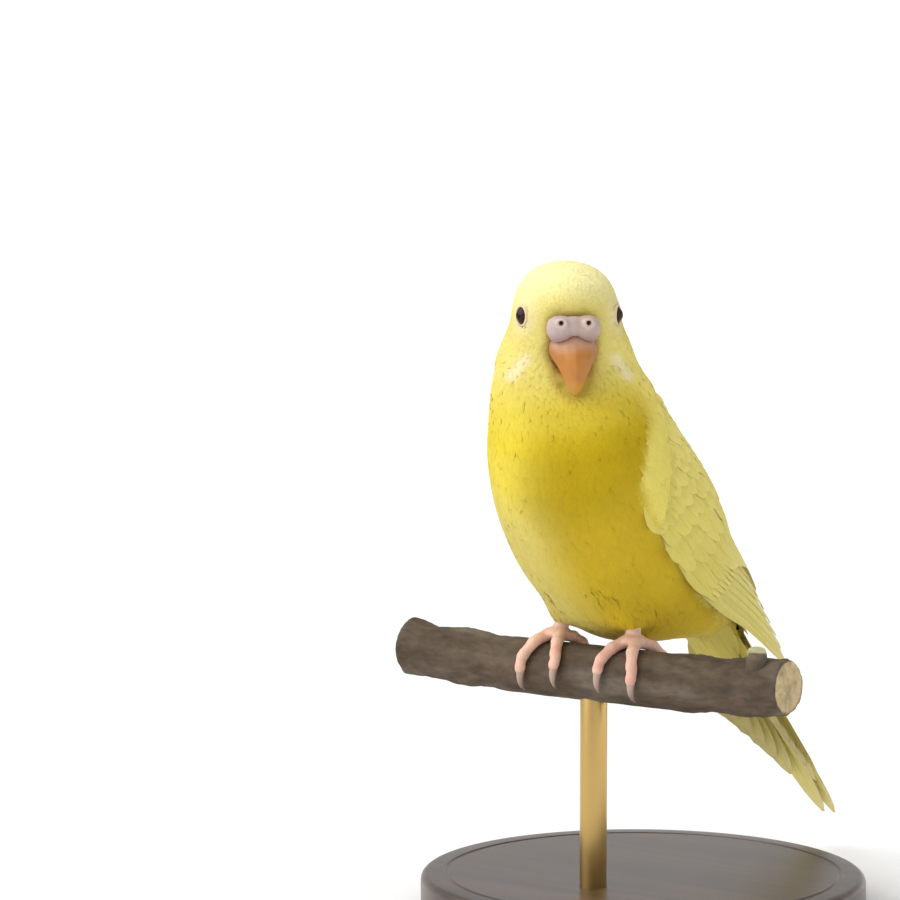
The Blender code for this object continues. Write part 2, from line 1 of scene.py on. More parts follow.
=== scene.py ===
"""The looks of a life-size budgerigar model gripping a cut branch on a plain display stand."""

import functools
import math
import random

import bmesh
import bpy
import numpy as np
from bpy.props import FloatProperty, FloatVectorProperty, IntProperty, PointerProperty
from mathutils import Matrix, Vector, noise
from mathutils.bvhtree import BVHTree
from mathutils.kdtree import KDTree


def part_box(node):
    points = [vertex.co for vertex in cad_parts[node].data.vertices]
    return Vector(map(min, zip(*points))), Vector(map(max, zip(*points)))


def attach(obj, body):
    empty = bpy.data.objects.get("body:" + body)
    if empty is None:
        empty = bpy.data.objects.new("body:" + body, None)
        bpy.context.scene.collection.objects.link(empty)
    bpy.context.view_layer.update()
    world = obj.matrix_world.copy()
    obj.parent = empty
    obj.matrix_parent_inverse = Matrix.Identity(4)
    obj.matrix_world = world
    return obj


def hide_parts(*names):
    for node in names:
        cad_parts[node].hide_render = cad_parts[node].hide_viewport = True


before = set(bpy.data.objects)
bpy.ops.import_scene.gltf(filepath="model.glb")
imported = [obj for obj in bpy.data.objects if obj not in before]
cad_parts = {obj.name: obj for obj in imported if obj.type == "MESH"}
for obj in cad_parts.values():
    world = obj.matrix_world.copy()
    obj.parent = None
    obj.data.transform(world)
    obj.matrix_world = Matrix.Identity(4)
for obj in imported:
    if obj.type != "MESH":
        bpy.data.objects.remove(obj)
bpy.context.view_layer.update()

bl_info = {
    "name": "Perched budgerigar",
    "version": (1, 0, 0),
    "blender": (4, 5, 0),
    "location": "View3D > Sidebar > Budgerigar",
    "description": "Feathers, skin and stand of a life-size budgerigar model",
    "category": "Add Mesh",
}

MM = 0.001

# The perch's top is the zero of the bird's measures, in millimetres
PERCH_RADIUS = 6.2
ROD_SOCKET = 5.0
ROD_LOW, ROD_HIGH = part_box("stand_rod")
PERCH_TOP = ROD_HIGH.z + (2 * PERCH_RADIUS - ROD_SOCKET) * MM
HOME = Vector(((ROD_LOW.x + ROD_HIGH.x) / 2, (ROD_LOW.y + ROD_HIGH.y) / 2, PERCH_TOP))

# The head's place and turn, from the middle of the line through both eyes
HEAD_AT = Vector((-0.7, -10.3, 73.6))
HEAD_TURN = 42.0
EYE_RADIUS = 2.4
EYE_SIDE = 9.1
EYE_FORWARD = 5.6
EYE_AIM = (0.92, 0.4)
LID_RADIUS = 2.62

# Each nostril's place on the cere
NOSTRIL_SIDE = 3.1
NOSTRIL_HEIGHT = -1.0
NOSTRIL_REACH = 14.75

# The line down the middle of the body from the crown to the tail: x, y, z
SPINE = (
    (-0.7, -10.3, 85.4),
    (-0.7, -10.3, 73.6),
    (-0.4, -10.3, 62.4),
    (0.0, -9.5, 54.2),
    (0.0, -7.5, 46.5),
    (0.0, -1.0, 35.8),
    (0.0, 9.5, 24.5),
    (0.0, 23.0, 14.3),
    (0.0, 38.0, 6.3),
    (0.0, 44.5, 1.8),
    (0.0, 63.2, -17.6),
)

# The tail's root, its slope below level and the feathers on each side from the middle out
TAIL_ROOT = (44.5, 1.8)
TAIL_SLOPE = 46.0
TAIL_LENGTHS = (80.0, 64.0, 57.0, 51.0, 45.0, 38.0)
# Rows of coverts over and under the tail: root, tip, level and half width
TAIL_COVERTS_OVER = ((2.0, 27.0, 3.6, 2.2), (-3.0, 20.0, 4.6, 2.3), (-8.0, 14.0, 5.6, 2.4))
TAIL_COVERTS_UNDER = ((2.0, 30.0, -1.6, 2.2), (-3.0, 22.0, -3.2, 2.4), (-8.0, 15.0, -4.8, 2.4))
# The flesh at the tail's root: distance down it, half width, depth below and height above
TAIL_CORE = ((-3.0, 7.6, 6.8, 6.2), (7.0, 6.6, 5.2, 5.2), (15.0, 5.4, 3.4, 3.9), (22.0, 4.0, 1.8, 2.6))

# The folded wing: stations down the back at 45 degrees, each with the x and n of its
# lower edge, of the point its side bulges to and of its upper edge
WING_STATIONS = (
    (-42.0, 15.0, 31.0, 17.0, 36.5, 12.6, 41.0),
    (-39.5, 17.4, 25.5, 19.0, 36.0, 11.6, 43.0),
    (-35.0, 19.6, 18.5, 21.0, 35.0, 9.2, 44.6),
    (-28.0, 20.8, 15.0, 22.2, 34.0, 6.8, 45.6),
    (-20.0, 21.4, 14.2, 22.8, 34.0, 5.4, 45.8),
    (-10.0, 20.8, 14.8, 22.4, 34.0, 4.6, 45.8),
    (0.0, 19.2, 17.0, 21.0, 35.0, 4.0, 45.8),
    (10.0, 17.2, 20.5, 19.2, 36.0, 3.4, 45.8),
    (20.0, 15.0, 25.5, 16.8, 37.0, 3.0, 45.8),
    (30.0, 12.8, 30.0, 14.0, 38.5, 2.8, 45.8),
    (40.0, 10.4, 34.0, 11.2, 40.0, 2.8, 45.4),
    (51.0, 7.8, 38.0, 8.2, 41.4, 3.2, 44.0),
    (61.0, 4.6, 41.0, 4.6, 42.0, 3.8, 42.6),
)
# Thickness of the wing's flesh down the back, the grids laid over wings and back, and the gaps they keep
WING_PAD = ((-42.0, 0.9), (-36.0, 1.6), (-28.0, 1.8), (-10.0, 1.6), (5.0, 1.0), (14.0, 0.4))
PAD_ROWS = 58
PAD_COLUMNS = 34
BACK_COLUMNS = 12
REAR_ROWS = 40
REAR_COLUMNS = 24
BACK_ARCH = 1.2
PAD_DEPTH = 5.0
WING_CLEAR = 0.3
WING_MIDDLE = 0.6
# Where the flight feathers end down the back
PRIMARY_TIPS = (59.5, 61.0, 58.0, 54.0, 49.5, 45.0, 40.5, 36.5, 33.0)
SECONDARY_TIPS = (11.0, 13.5, 16.5, 19.5, 22.5, 26.0, 29.5, 33.5, 38.0)

# Toes: where each starts and ends across the foot, and how far round the perch it bends
FOOT_SIDE = 10.0
TOES = ((1.0, 4.6, 92.0), (-1.0, -4.2, 80.0), (1.2, 4.2, -84.0), (-1.2, -3.6, -62.0))
TOE_RADIUS = 1.45
TOE_RINGS = 46

# The nodes of flesh, how much they swell to meet, the skin's voxels and how near leg and trunk a crease is
FLESH = ("torso", "neck", "head", "leg_left", "leg_right")
SKIN_OVERLAP = 0.35
SKIN_VOXEL = 0.7
CREASE = 2.4

# Points closer than these are merged in joined and in spun meshes
JOIN_GAP = 0.002
SPIN_GAP = 0.001


def colour(code):
    """An sRGB hex colour as linear values."""
    values = [int(code[i : i + 2], 16) / 255 for i in (1, 3, 5)]
    return tuple(v / 12.92 if v <= 0.04045 else ((v + 0.055) / 1.055) ** 2.4 for v in values)


def hue(name, code, text):
    """A colour setting whose default is given as sRGB hex."""
    return FloatVectorProperty(
        name=name, description=text, default=colour(code), subtype="COLOR", size=3, min=0.0, max=1.0
    )


class BudgerigarPlumage(bpy.types.PropertyGroup):
    crown: hue("Crown", "#FDF4B0", "Top of the head")
    face: hue("Face", "#E2D276", "Forehead, cheeks and round the eyes")
    throat: hue("Throat", "#DBC534", "Below the beak")
    breast: hue("Breast", "#D5C468", "Front of the body")
    # Painted shade: this tint darkens mainly the bird's left flank, the side away from the light, and a little of the
    # lower belly.
    flank_shade: hue("Flank", "#CAA900", "Sides and rear of the belly")
    vent: hue("Vent", "#EFDF70", "Below the root of the tail")
    back: hue("Back", "#F0E078", "Mantle and rump")
    patch: hue("Cheek patch", "#F0E2B8", "The pale patch on each cheek")
    wing: hue("Wing", "#DCCD5E", "Coverts of the folded wing")
    flight: hue("Flight feathers", "#E8DA76", "Primaries, secondaries and tail")
    tip: hue("Feather tips", "#DFCF98", "Ends of the longest feathers")
    depth: FloatProperty(
        name="Coat depth", description="How far the coat stands off the skin, in millimetres",
        default=0.36, min=0.2, max=3.0,
    )
    density: FloatProperty(
        name="Coat density", description="Share of the full number of body feathers",
        default=1.0, min=0.1, max=2.0, subtype="FACTOR",
    )
    barb: FloatProperty(
        name="Barb width", description="Width of one tuft of barbs on the breast, in millimetres",
        default=0.42, min=0.1, max=1.5,
    )


class BudgerigarBare(bpy.types.PropertyGroup):
    cere: hue("Cere", "#BCA7A2", "The bare skin above the beak")
    nostril: hue("Nostril ring", "#D6C2B8", "The pale ring round each nostril")
    beak: hue("Beak", "#BC7A2C", "Middle of the beak")
    beak_tip: hue("Beak tip", "#C99A4C", "Tip and edges of the beak")
    foot: hue("Foot", "#E3BBA6", "Skin of the toes")
    claw: hue("Claw", "#B59A8C", "Horn of the claws")
    lid: hue("Eyelid", "#DCCBA0", "Bare ring round each eye")
    iris: hue("Iris", "#3A1A0C", "The eye round its pupil")
    bark: hue("Bark", "#5A4D40", "Surface of the branch")


class BudgerigarStand(bpy.types.PropertyGroup):
    brass: hue("Brass", "#C7A768", "The rod")
    wood: hue("Wood", "#4A3222", "The base")
    key: FloatProperty(name="Key light", description="Strength of the main soft light", default=2.5, min=0.0)
    fill: FloatProperty(name="Fill light", description="Strength of the light all round", default=0.6, min=0.0)
    segments: IntProperty(name="Round segments", description="Sides of the turned pieces", default=128, min=24, max=256)


# Meshes


def new_object(name, data):
    obj = bpy.data.objects.new(name, data)
    bpy.context.scene.collection.objects.link(obj)
    return obj


def taken_mesh(obj):
    """The mesh that an object shows; the object itself is removed."""
    graph = bpy.context.evaluated_depsgraph_get()
    mesh = bpy.data.meshes.new_from_object(obj.evaluated_get(graph))
    bpy.data.objects.remove(obj)
    return mesh


def finish_piece(name, mesh, material, slot, *nodes):
    """Puts a mesh in the scene as a piece of the model that rides on its one body."""
    mesh.name = name
    obj = new_object(name, mesh)
    mesh.materials.clear()
    mesh.materials.append(material)
    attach(obj, "root")
    if nodes:
        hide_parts(*nodes)
    return obj


def mesh_from_arrays(name, points, triangles, tint, patches=None, shading=None):
    """A joined mesh of many like pieces, in the bird's millimetres, smoothly shaded by the given normals."""
    mesh = bpy.data.meshes.new(name)
    mesh.vertices.add(len(points))
    write_points(mesh, points)
    mesh.loops.add(triangles.size)
    mesh.loops.foreach_set("vertex_index", triangles.astype(np.int32).ravel())
    mesh.polygons.add(len(triangles))
    mesh.polygons.foreach_set("loop_start", np.arange(0, triangles.size, 3, dtype=np.int32))
    mesh.polygons.foreach_set("use_smooth", np.full(len(triangles), True))
    mesh.update(calc_edges=True)
    paint(mesh, tint)
    if shading is not None:
        set_normals(mesh, shading)
    if patches is not None:
        layer = mesh.uv_layers.new(name="OFBake")
        layer.uv.foreach_set("vector", patches[triangles.ravel()].astype(np.float32).ravel())
    return mesh


def set_normals(mesh, normals):
    """Shades a mesh by one normal for each point, whatever its own faces' slopes are."""
    layer = mesh.attributes.new("custom_normal", "FLOAT_VECTOR", "POINT")
    layer.data.foreach_set("vector", np.asarray(normals, np.float32).ravel())


def paint(mesh, tint):
    """Writes one linear colour for each point, which the material reads as its tint."""
    layer = mesh.color_attributes.new("tint", "FLOAT_COLOR", "POINT")
    rgba = np.ones((len(mesh.vertices), 4), np.float32)
    rgba[:, :3] = np.clip(tint, 0.0, 1.0)
    layer.data.foreach_set("color", rgba.ravel())


def read_mesh(mesh):
    """A mesh's points and normals in the bird's millimetres, and its triangles."""
    mesh.calc_loop_triangles()
    points = np.empty(len(mesh.vertices) * 3)
    normals = np.empty(len(mesh.vertices) * 3)
    triangles = np.empty(len(mesh.loop_triangles) * 3, np.int32)
    mesh.vertices.foreach_get("co", points)
    mesh.vertices.foreach_get("normal", normals)
    mesh.loop_triangles.foreach_get("vertices", triangles)
    points = (points.reshape(-1, 3) - np.array(HOME)) / MM
    return points, normals.reshape(-1, 3), triangles.reshape(-1, 3)


def write_points(mesh, points):
    """Moves a mesh's points to places in the bird's millimetres."""
    place = np.asarray(points) * MM + np.array(HOME)
    mesh.vertices.foreach_set("co", place.astype(np.float32).ravel())
    mesh.update()


def evaluated(mesh, kind, **settings):
    """The mesh after one modifier."""
    obj = new_object("helper", mesh)
    modifier = obj.modifiers.new("Shape", kind)
    for key, value in settings.items():
        setattr(modifier, key, value)
    out = taken_mesh(obj)
    bpy.data.meshes.remove(mesh)
    return out


def remeshed(mesh, voxel):
    """The mesh made anew as one closed surface from voxels of a given size in millimetres."""
    return evaluated(mesh, "REMESH", mode="VOXEL", voxel_size=voxel * MM)


def mesh_from_bmesh(bm):
    """A smooth mesh of a bmesh, which is freed."""
    for face in bm.faces:
        face.smooth = True
    mesh = bpy.data.meshes.new("piece")
    bm.to_mesh(mesh)
    bm.free()
    return mesh


def add_mesh(bm, mesh):
    """Adds a mesh to a bmesh and removes it."""
    bm.from_mesh(mesh)
    bpy.data.meshes.remove(mesh)


def closed(bm, gap):
    """Merges the doubles of a bmesh and turns its faces outward."""
    bmesh.ops.remove_doubles(bm, verts=bm.verts, dist=gap * MM)
    bmesh.ops.recalc_face_normals(bm, faces=bm.faces)
    return bm


def profile_bmesh(profile, loop=False):
    """A line through pairs of radius and level in metres, ready to be spun."""
    bm = bmesh.new()
    line = [bm.verts.new((radius, 0.0, level)) for radius, level in profile]
    for pair in zip(line, line[1:] + line[:1] * loop):
        bm.edges.new(pair)
    return bm


def spun(bm, steps):
    """Spins a bmesh's profile once round Z."""
    bmesh.ops.spin(
        bm, geom=list(bm.verts) + list(bm.edges), cent=(0, 0, 0), axis=(0, 0, 1), angle=2 * math.pi, steps=steps,
        use_merge=True,
    )
    return closed(bm, SPIN_GAP)


def joined_copies(names, swell=0.0):
    """The merged meshes of some nodes, each swollen a little so that they overlap, as one bmesh."""
    whole = bmesh.new()
    for name in names:
        bm = bmesh.new()
        bm.from_mesh(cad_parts[name].data)
        closed(bm, JOIN_GAP).normal_update()
        for vert in bm.verts:
            vert.co += vert.normal * (swell * MM)
        add_mesh(whole, mesh_from_bmesh(bm))
    return whole


def soften(mesh, passes, chosen=None):
    """Smooths a mesh, or only the chosen points of it."""
    bm = bmesh.new()
    bm.from_mesh(mesh)
    bm.verts.ensure_lookup_table()
    verts = bm.verts if chosen is None else [bm.verts[i] for i in chosen]
    for _ in range(passes):
        bmesh.ops.smooth_vert(bm, verts=verts, factor=0.5, use_axis_x=True, use_axis_y=True, use_axis_z=True)
    for face in bm.faces:
        face.smooth = True
    bm.to_mesh(mesh)
    bm.free()


def tube_mesh(path, radii, sides):
    """A round tube through the bird's points, made as a bevelled curve."""
    curve = bpy.data.curves.new("tube", "CURVE")
    curve.dimensions = "3D"
    curve.bevel_depth = MM
    curve.bevel_resolution = sides
    curve.use_fill_caps = True
    spline = curve.splines.new("POLY")
    spline.points.add(len(path) - 1)
    for point, place, radius in zip(spline.points, path, radii):
        point.co = (*(HOME + Vector(place) * MM), 1.0)
        point.radius = radius
    mesh = taken_mesh(new_object("tube", curve))
    bpy.data.curves.remove(curve)
    return mesh


def join_meshes(meshes):
    bm = bmesh.new()
    for mesh in meshes:
        add_mesh(bm, mesh)
    return mesh_from_bmesh(closed(bm, JOIN_GAP))


def grid_faces(rows, columns):
    """The quads between rows of points."""
    return [
        (row * columns + k, (row + 1) * columns + k, (row + 1) * columns + k + 1, row * columns + k + 1)
        for row in range(rows - 1)
        for k in range(columns - 1)
    ]


def point_tree(points):
    tree = KDTree(len(points))
    for i, point in enumerate(points):
        tree.insert(point, i)
    tree.balance()
    return tree


def slopes(corners):
    """Each triangle's normal, as long as twice its area."""
    return np.cross(corners[..., 1, :] - corners[..., 0, :], corners[..., 2, :] - corners[..., 0, :])


def unit(vectors):
    """The vectors, each one long."""
    return vectors / np.maximum(np.linalg.norm(vectors, axis=-1, keepdims=True), 1e-9)


def bell(values, width):
    """1 where the values are 0, falling off smoothly over the width."""
    return np.exp(-((values / width) ** 2))


def ramp(values, start, end):
    """A smooth step from 0 at the start to 1 at the end."""
    t = np.clip((values - start) / (end - start), 0.0, 1.0)
    return t * t * (3 - 2 * t)


def mix(a, b, share):
    share = np.asarray(share)[..., None]
    return np.asarray(a) * (1 - share) + np.asarray(b) * share


def ripple(points, length, seed, stretch=None):
    """Smooth random waves between about -1 and 1, of a given length in millimetres."""
    chance = np.random.default_rng(seed)
    total = np.zeros(len(points))
    for _ in range(7):
        way = unit(chance.normal(size=3))
        if stretch is not None:
            way = way * stretch
        total += np.sin(points @ way * (2 * np.pi / length) * chance.uniform(0.6, 1.5) + chance.uniform(0, 6.28))
    return np.clip(total / 3.2, -1, 1)


# Places on the body


def head_axes():
    turn = Matrix.Rotation(math.radians(HEAD_TURN), 3, "Z")
    return turn @ Vector((1, 0, 0)), turn @ Vector((0, -1, 0)), turn @ Vector((0, 0, 1))


LEFT, FORWARD, UP = head_axes()


def head_point(side, forward, height):
    return HEAD_AT + LEFT * side + FORWARD * forward + UP * height


def on_head(place, way):
    """The matrix that puts a piece at a place on the head, its Z turned the given way."""
    turn = way.to_track_quat("Z", "Y").to_matrix().to_4x4()
    return Matrix.Translation(HOME + head_point(*place) * MM) @ turn


def head_place(points):
    """Each point's side, reach forward and height in the head's own axes."""
    return (points - np.array(HEAD_AT)) @ np.array((LEFT, FORWARD, UP)).T


def body_place(points):
    """Distance from the crown along the spine, the spine's way there and the angle round it from the back."""
    spine = np.array(SPINE)
    runs = spine[1:] - spine[:-1]
    lengths = np.linalg.norm(runs, axis=1)
    starts = np.concatenate([[0.0], np.cumsum(lengths)])
    offset = points[:, None, :] - spine[:-1]
    share = np.clip((offset * runs).sum(2) / lengths**2, 0.0, 1.0)
    gaps = np.linalg.norm(offset - share[..., None] * runs, axis=2)
    best = gaps.argmin(1)
    rows = np.arange(len(points))
    part = share[rows, best]
    reach = starts[best] + part * lengths[best]
    ways = unit(runs)
    bends = unit(np.vstack([ways[:1], ways[:-1] + ways[1:], ways[-1:]]))
    way = unit(bends[best] * (1 - part[:, None]) + bends[best + 1] * part[:, None])
    out = points - (spine[best] + part[:, None] * runs[best])
    rear = np.stack([np.zeros(len(points)), -way[:, 2], way[:, 1]], 1)
    return reach, way, np.arctan2(out[:, 0], (out * rear).sum(1))


def lie_of_coat(points, normals):
    """The way the feathers lie at each point, along the surface."""
    way = body_place(points)[1]
    beak = np.array(head_point(0.0, 9.5, -5.5))
    away = unit(points - beak)
    near_head = ramp(head_place(points)[:, 2], -22.0, -4.0)[:, None]
    flow = unit(away + np.array((0.0, 0.0, -0.4))) * near_head + way * (1 - near_head)
    thigh = leg_share(points)[:, None]
    flow = flow * (1 - thigh) + np.array((0.0, -0.12, -1.0)) * thigh
    flow = flow - normals * (flow * normals).sum(1, keepdims=True)
    return unit(flow)


def leg_gap(points):
    """How far each point is from the nearer leg's middle plane."""
    return np.abs(np.abs(points[:, 0]) - FOOT_SIDE)


def leg_share(points):
    """1 on the lower leg, falling to 0 on the body."""
    side = leg_gap(points)
    return (1 - ramp(points[:, 2], 5.0, 10.0)) * (1 - ramp(side, 5.0, 8.0)) * (1 - ramp(points[:, 1], 6.0, 14.0))


def on_thigh(points):
    """Whether each point lies where a broad vane would span the crease between thigh and body."""
    return (points[:, 2] < 14.5) & (leg_gap(points) < 5.5) & (points[:, 1] < 8.0)


def bare_distance(points):
    """How far each point is from the bare skin of eyes, cere, beak and feet, in millimetres."""
    x, y, z = head_place(points).T
    eyes = eye_gap(points) - LID_RADIUS
    cere = np.sqrt((x / 1.35) ** 2 + ((y - 12.5) / 1.1) ** 2 + ((z + 2.0) / 1.05) ** 2) - 3.4
    return np.maximum(np.minimum(np.minimum(eyes, cere), beak_distance(points)), 0.0)


def beak_distance(points):
    """How far each point is from a simple round form of the beak."""
    x, y, z = head_place(points).T
    return np.sqrt((x / 1.3) ** 2 + (y - 12.0) ** 2 + ((z + 10.0) / 1.9) ** 2) - 3.5


def tail_point(s, x, level):
    """Points of the tail: s down it from its root, x across and level above its middle."""
    slope = math.radians(TAIL_SLOPE)
    along = np.array((0.0, math.cos(slope), -math.sin(slope)))
    over = np.array((0.0, math.sin(slope), math.cos(slope)))
    root = np.array((0.0, *TAIL_ROOT))
    return root + np.outer(s, along) + np.outer(level, over) + np.outer(x, (1.0, 0.0, 0.0))


# The plumage's colours, with some painted shade


# The pale streak on each cheek: side and height of its ends
CHEEK_START = (9.6, -9.2)
CHEEK_END = (12.6, -13.0)


def body_colour(points, look):
    """The colour of skin and coat at each point, before each feather's own, with painted shade on the bird's left
    flank, under the head and round the beak.
    """
    reach, _, angle = body_place(points)
    side, forward, height = head_place(points).T
    front = 1 - ramp(np.cos(angle), -0.1, 0.7)
    face, crown = np.array(look.face), np.array(look.crown)
    base = mix(crown, face, ramp(reach, 3.0, 13.0))
    base = mix(base, look.throat, ramp(reach, 19.0, 36.0) * front)
    base = mix(base, look.breast, ramp(reach, 34.0, 52.0) * front)
    base = mix(base, look.back, ramp(reach, 14.0, 34.0) * (1 - front))
    # Painted shade: the deep gold goes on the bird's left flank, away from the light; the lower belly takes a tenth of
    # it, darker towards the bottom.
    low = ramp(reach, 66.0, 88.0) * front
    flank_shade = ramp(points[:, 0], -6.0, 9.0) * ramp(reach, 24.0, 40.0) * front
    base = mix(base, look.flank_shade, np.clip(flank_shade * 0.85 + low * 0.1, 0, 1))
    # Painted shadow of the head on the upper breast, stronger on the bird's left.
    base = base * (1 - 0.2 * bell(reach - 41.0, 9.0) * ramp(points[:, 0], -9.0, 3.0) * front)[:, None]
    base = mix(base, mix(look.wing, look.back, 0.5), wing_share(points))
    # The pale vent colour is laid mostly on the bird's right, the lit side; on the left the darker painted shade stays.
    base = mix(base, look.vent, ramp(reach, 92.0, 108.0) * front * (1 - 0.7 * ramp(points[:, 0], -6.0, 6.0)))
    brow = np.exp(-((height - 2.5) ** 2) / 9.0 - (np.abs(side) / 9.0) ** 4) * ramp(forward, 6.0, 12.0)
    base = mix(base, look.throat, brow * 0.22)
    place = np.stack([np.abs(side), height], 1) - CHEEK_START
    run = np.subtract(CHEEK_END, CHEEK_START)
    share = np.clip(place @ run / (run**2).sum(), 0, 1)
    off = np.linalg.norm(place - share[:, None] * run, axis=1)
    base = mix(base, look.patch, 0.8 * bell(off, 1.15) * ramp(forward, 0.0, 3.0))
    base = mix(base, look.patch, 0.45 * bell(np.maximum(eye_gap(points) - 3.0, 0.0), math.sqrt(3.0)))
    # Painted shade: the coat darkened close round the beak, and a painted shadow under the beak's tip on the bird's
    # right where the lower mandible shades the chin.
    beak = bell(beak_distance(points), 0.9) * ramp(-height, 4.5, 7.5)
    notch = np.exp(-((side + 2.7) ** 2 + (height + 14.6) ** 2) / 1.6) * ramp(forward, 4.0, 7.0)
    base = mix(base, base * (0.55, 0.42, 0.3), np.maximum(beak * 0.55, notch))
    mottle = ripple(points, 16.0, 5) * 0.05 * (1 - ramp(height, -22.0, -8.0))
    return base * (1 + mottle)[:, None]


def wing_share(points):
    """1 on the sides that the folded wings cover, 0 on the trunk."""
    table = np.array(WING_STATIONS)
    t = (points[:, 1] - points[:, 2]) / math.sqrt(2)
    n = (points[:, 1] + points[:, 2]) / math.sqrt(2)
    low, top = (np.interp(t, table[:, 0], table[:, k]) for k in (2, 5))
    return ramp(n - low, -1.0, 2.5) * ramp(np.abs(points[:, 0]) - top, -2.0, 3.0) * ramp(t, -44.0, -38.0)


def eye_gap(points):
    """How far each point is from the middle of the nearer eye."""
    x, y, z = head_place(points).T
    return np.sqrt((np.abs(x) - EYE_SIDE) ** 2 + (y - EYE_FORWARD) ** 2 + z**2)


# The folded wing


def wing_row(t):
    """The lower edge, the bulge and the upper edge of the wing at t."""
    table = np.array(WING_STATIONS)
    row = [np.interp(t, table[:, 0], table[:, k]) for k in range(1, 7)]
    return Vector(row[0:2]), Vector(row[2:4]), Vector(row[4:6])


def wing_width(t):
    low, out, top = wing_row(t)
    return ((out - low).length + (top - out).length + (top - low).length) / 2


def wing_point(t, d, h, body, side=1):
    """A point of a wing: t down the back, d in from the lower edge, h off the body."""
    low, out, top = wing_row(t)
    u = d / wing_width(t)
    flat = low * (1 - u) ** 2 + out * (2 * u * (1 - u)) + top * u**2
    run = (out - low) * (1 - u) + (top - out) * u
    flat += Vector((run.y, -run.x)).normalized() * h
    flat.x = max(flat.x, WING_MIDDLE)
    point = Vector((flat.x, (t + flat.y) / math.sqrt(2), (flat.y - t) / math.sqrt(2)))
    near, normal, _, _ = body.find_nearest(point)
    if (point - near).dot(normal) < h + WING_CLEAR:
        point = near + normal * (h + WING_CLEAR)
    point.x = max(point.x, WING_MIDDLE) * side
    return point


def pad_height(t, u):
    """Thickness of the wing's flesh: none at its front edge, full from its middle to the back."""
    table = np.array(WING_PAD)
    thick = np.interp(t, table[:, 0], table[:, 1])
    return thick * math.sqrt(1 - (1 - min(1.0, 2 * u)) ** 2)


def breast_cover(t, side):
    """How far up from a wing's lower edge the breast's feathers lie over it, in millimetres."""
    if side > 0:
        return np.interp(t, (-33.0, -28.0, -22.0), (10.0, 6.0, 0.0))
    return np.interp(t, (-12.0, -2.0), (6.5, 0.0))


def body_tree(nodes=("torso", "neck")):
    """Nodes as one surface in the bird's millimetres: by default the trunk, which the wings rest on."""
    bm = joined_copies(nodes)
    bm.transform(Matrix.Scale(1 / MM, 4) @ Matrix.Translation(-HOME))
    tree = BVHTree.FromBMesh(bm)
    bm.free()
    return tree


# Outline of each kind of vane: share of its length and of its half width, then the columns across it
LONG_VANE = (
    (0.0, 0.55), (0.1, 0.86), (0.25, 1.0), (0.5, 1.0), (0.68, 0.96), (0.8, 0.86), (0.89, 0.68), (0.95, 0.45),
    (1.0, 0.1),
)
ROUND_VANE = (0.0, 0.5), (0.2, 0.85), (0.45, 1.0), (0.65, 0.98), (0.8, 0.84), (0.91, 0.6), (1.0, 0.14)
VANE_COLUMNS = (-1.0, -0.82, -0.5, -0.1, 0.0, 0.1, 0.5, 0.82, 1.0)
SHAFT = 4
OWN_SHADE = 0.35


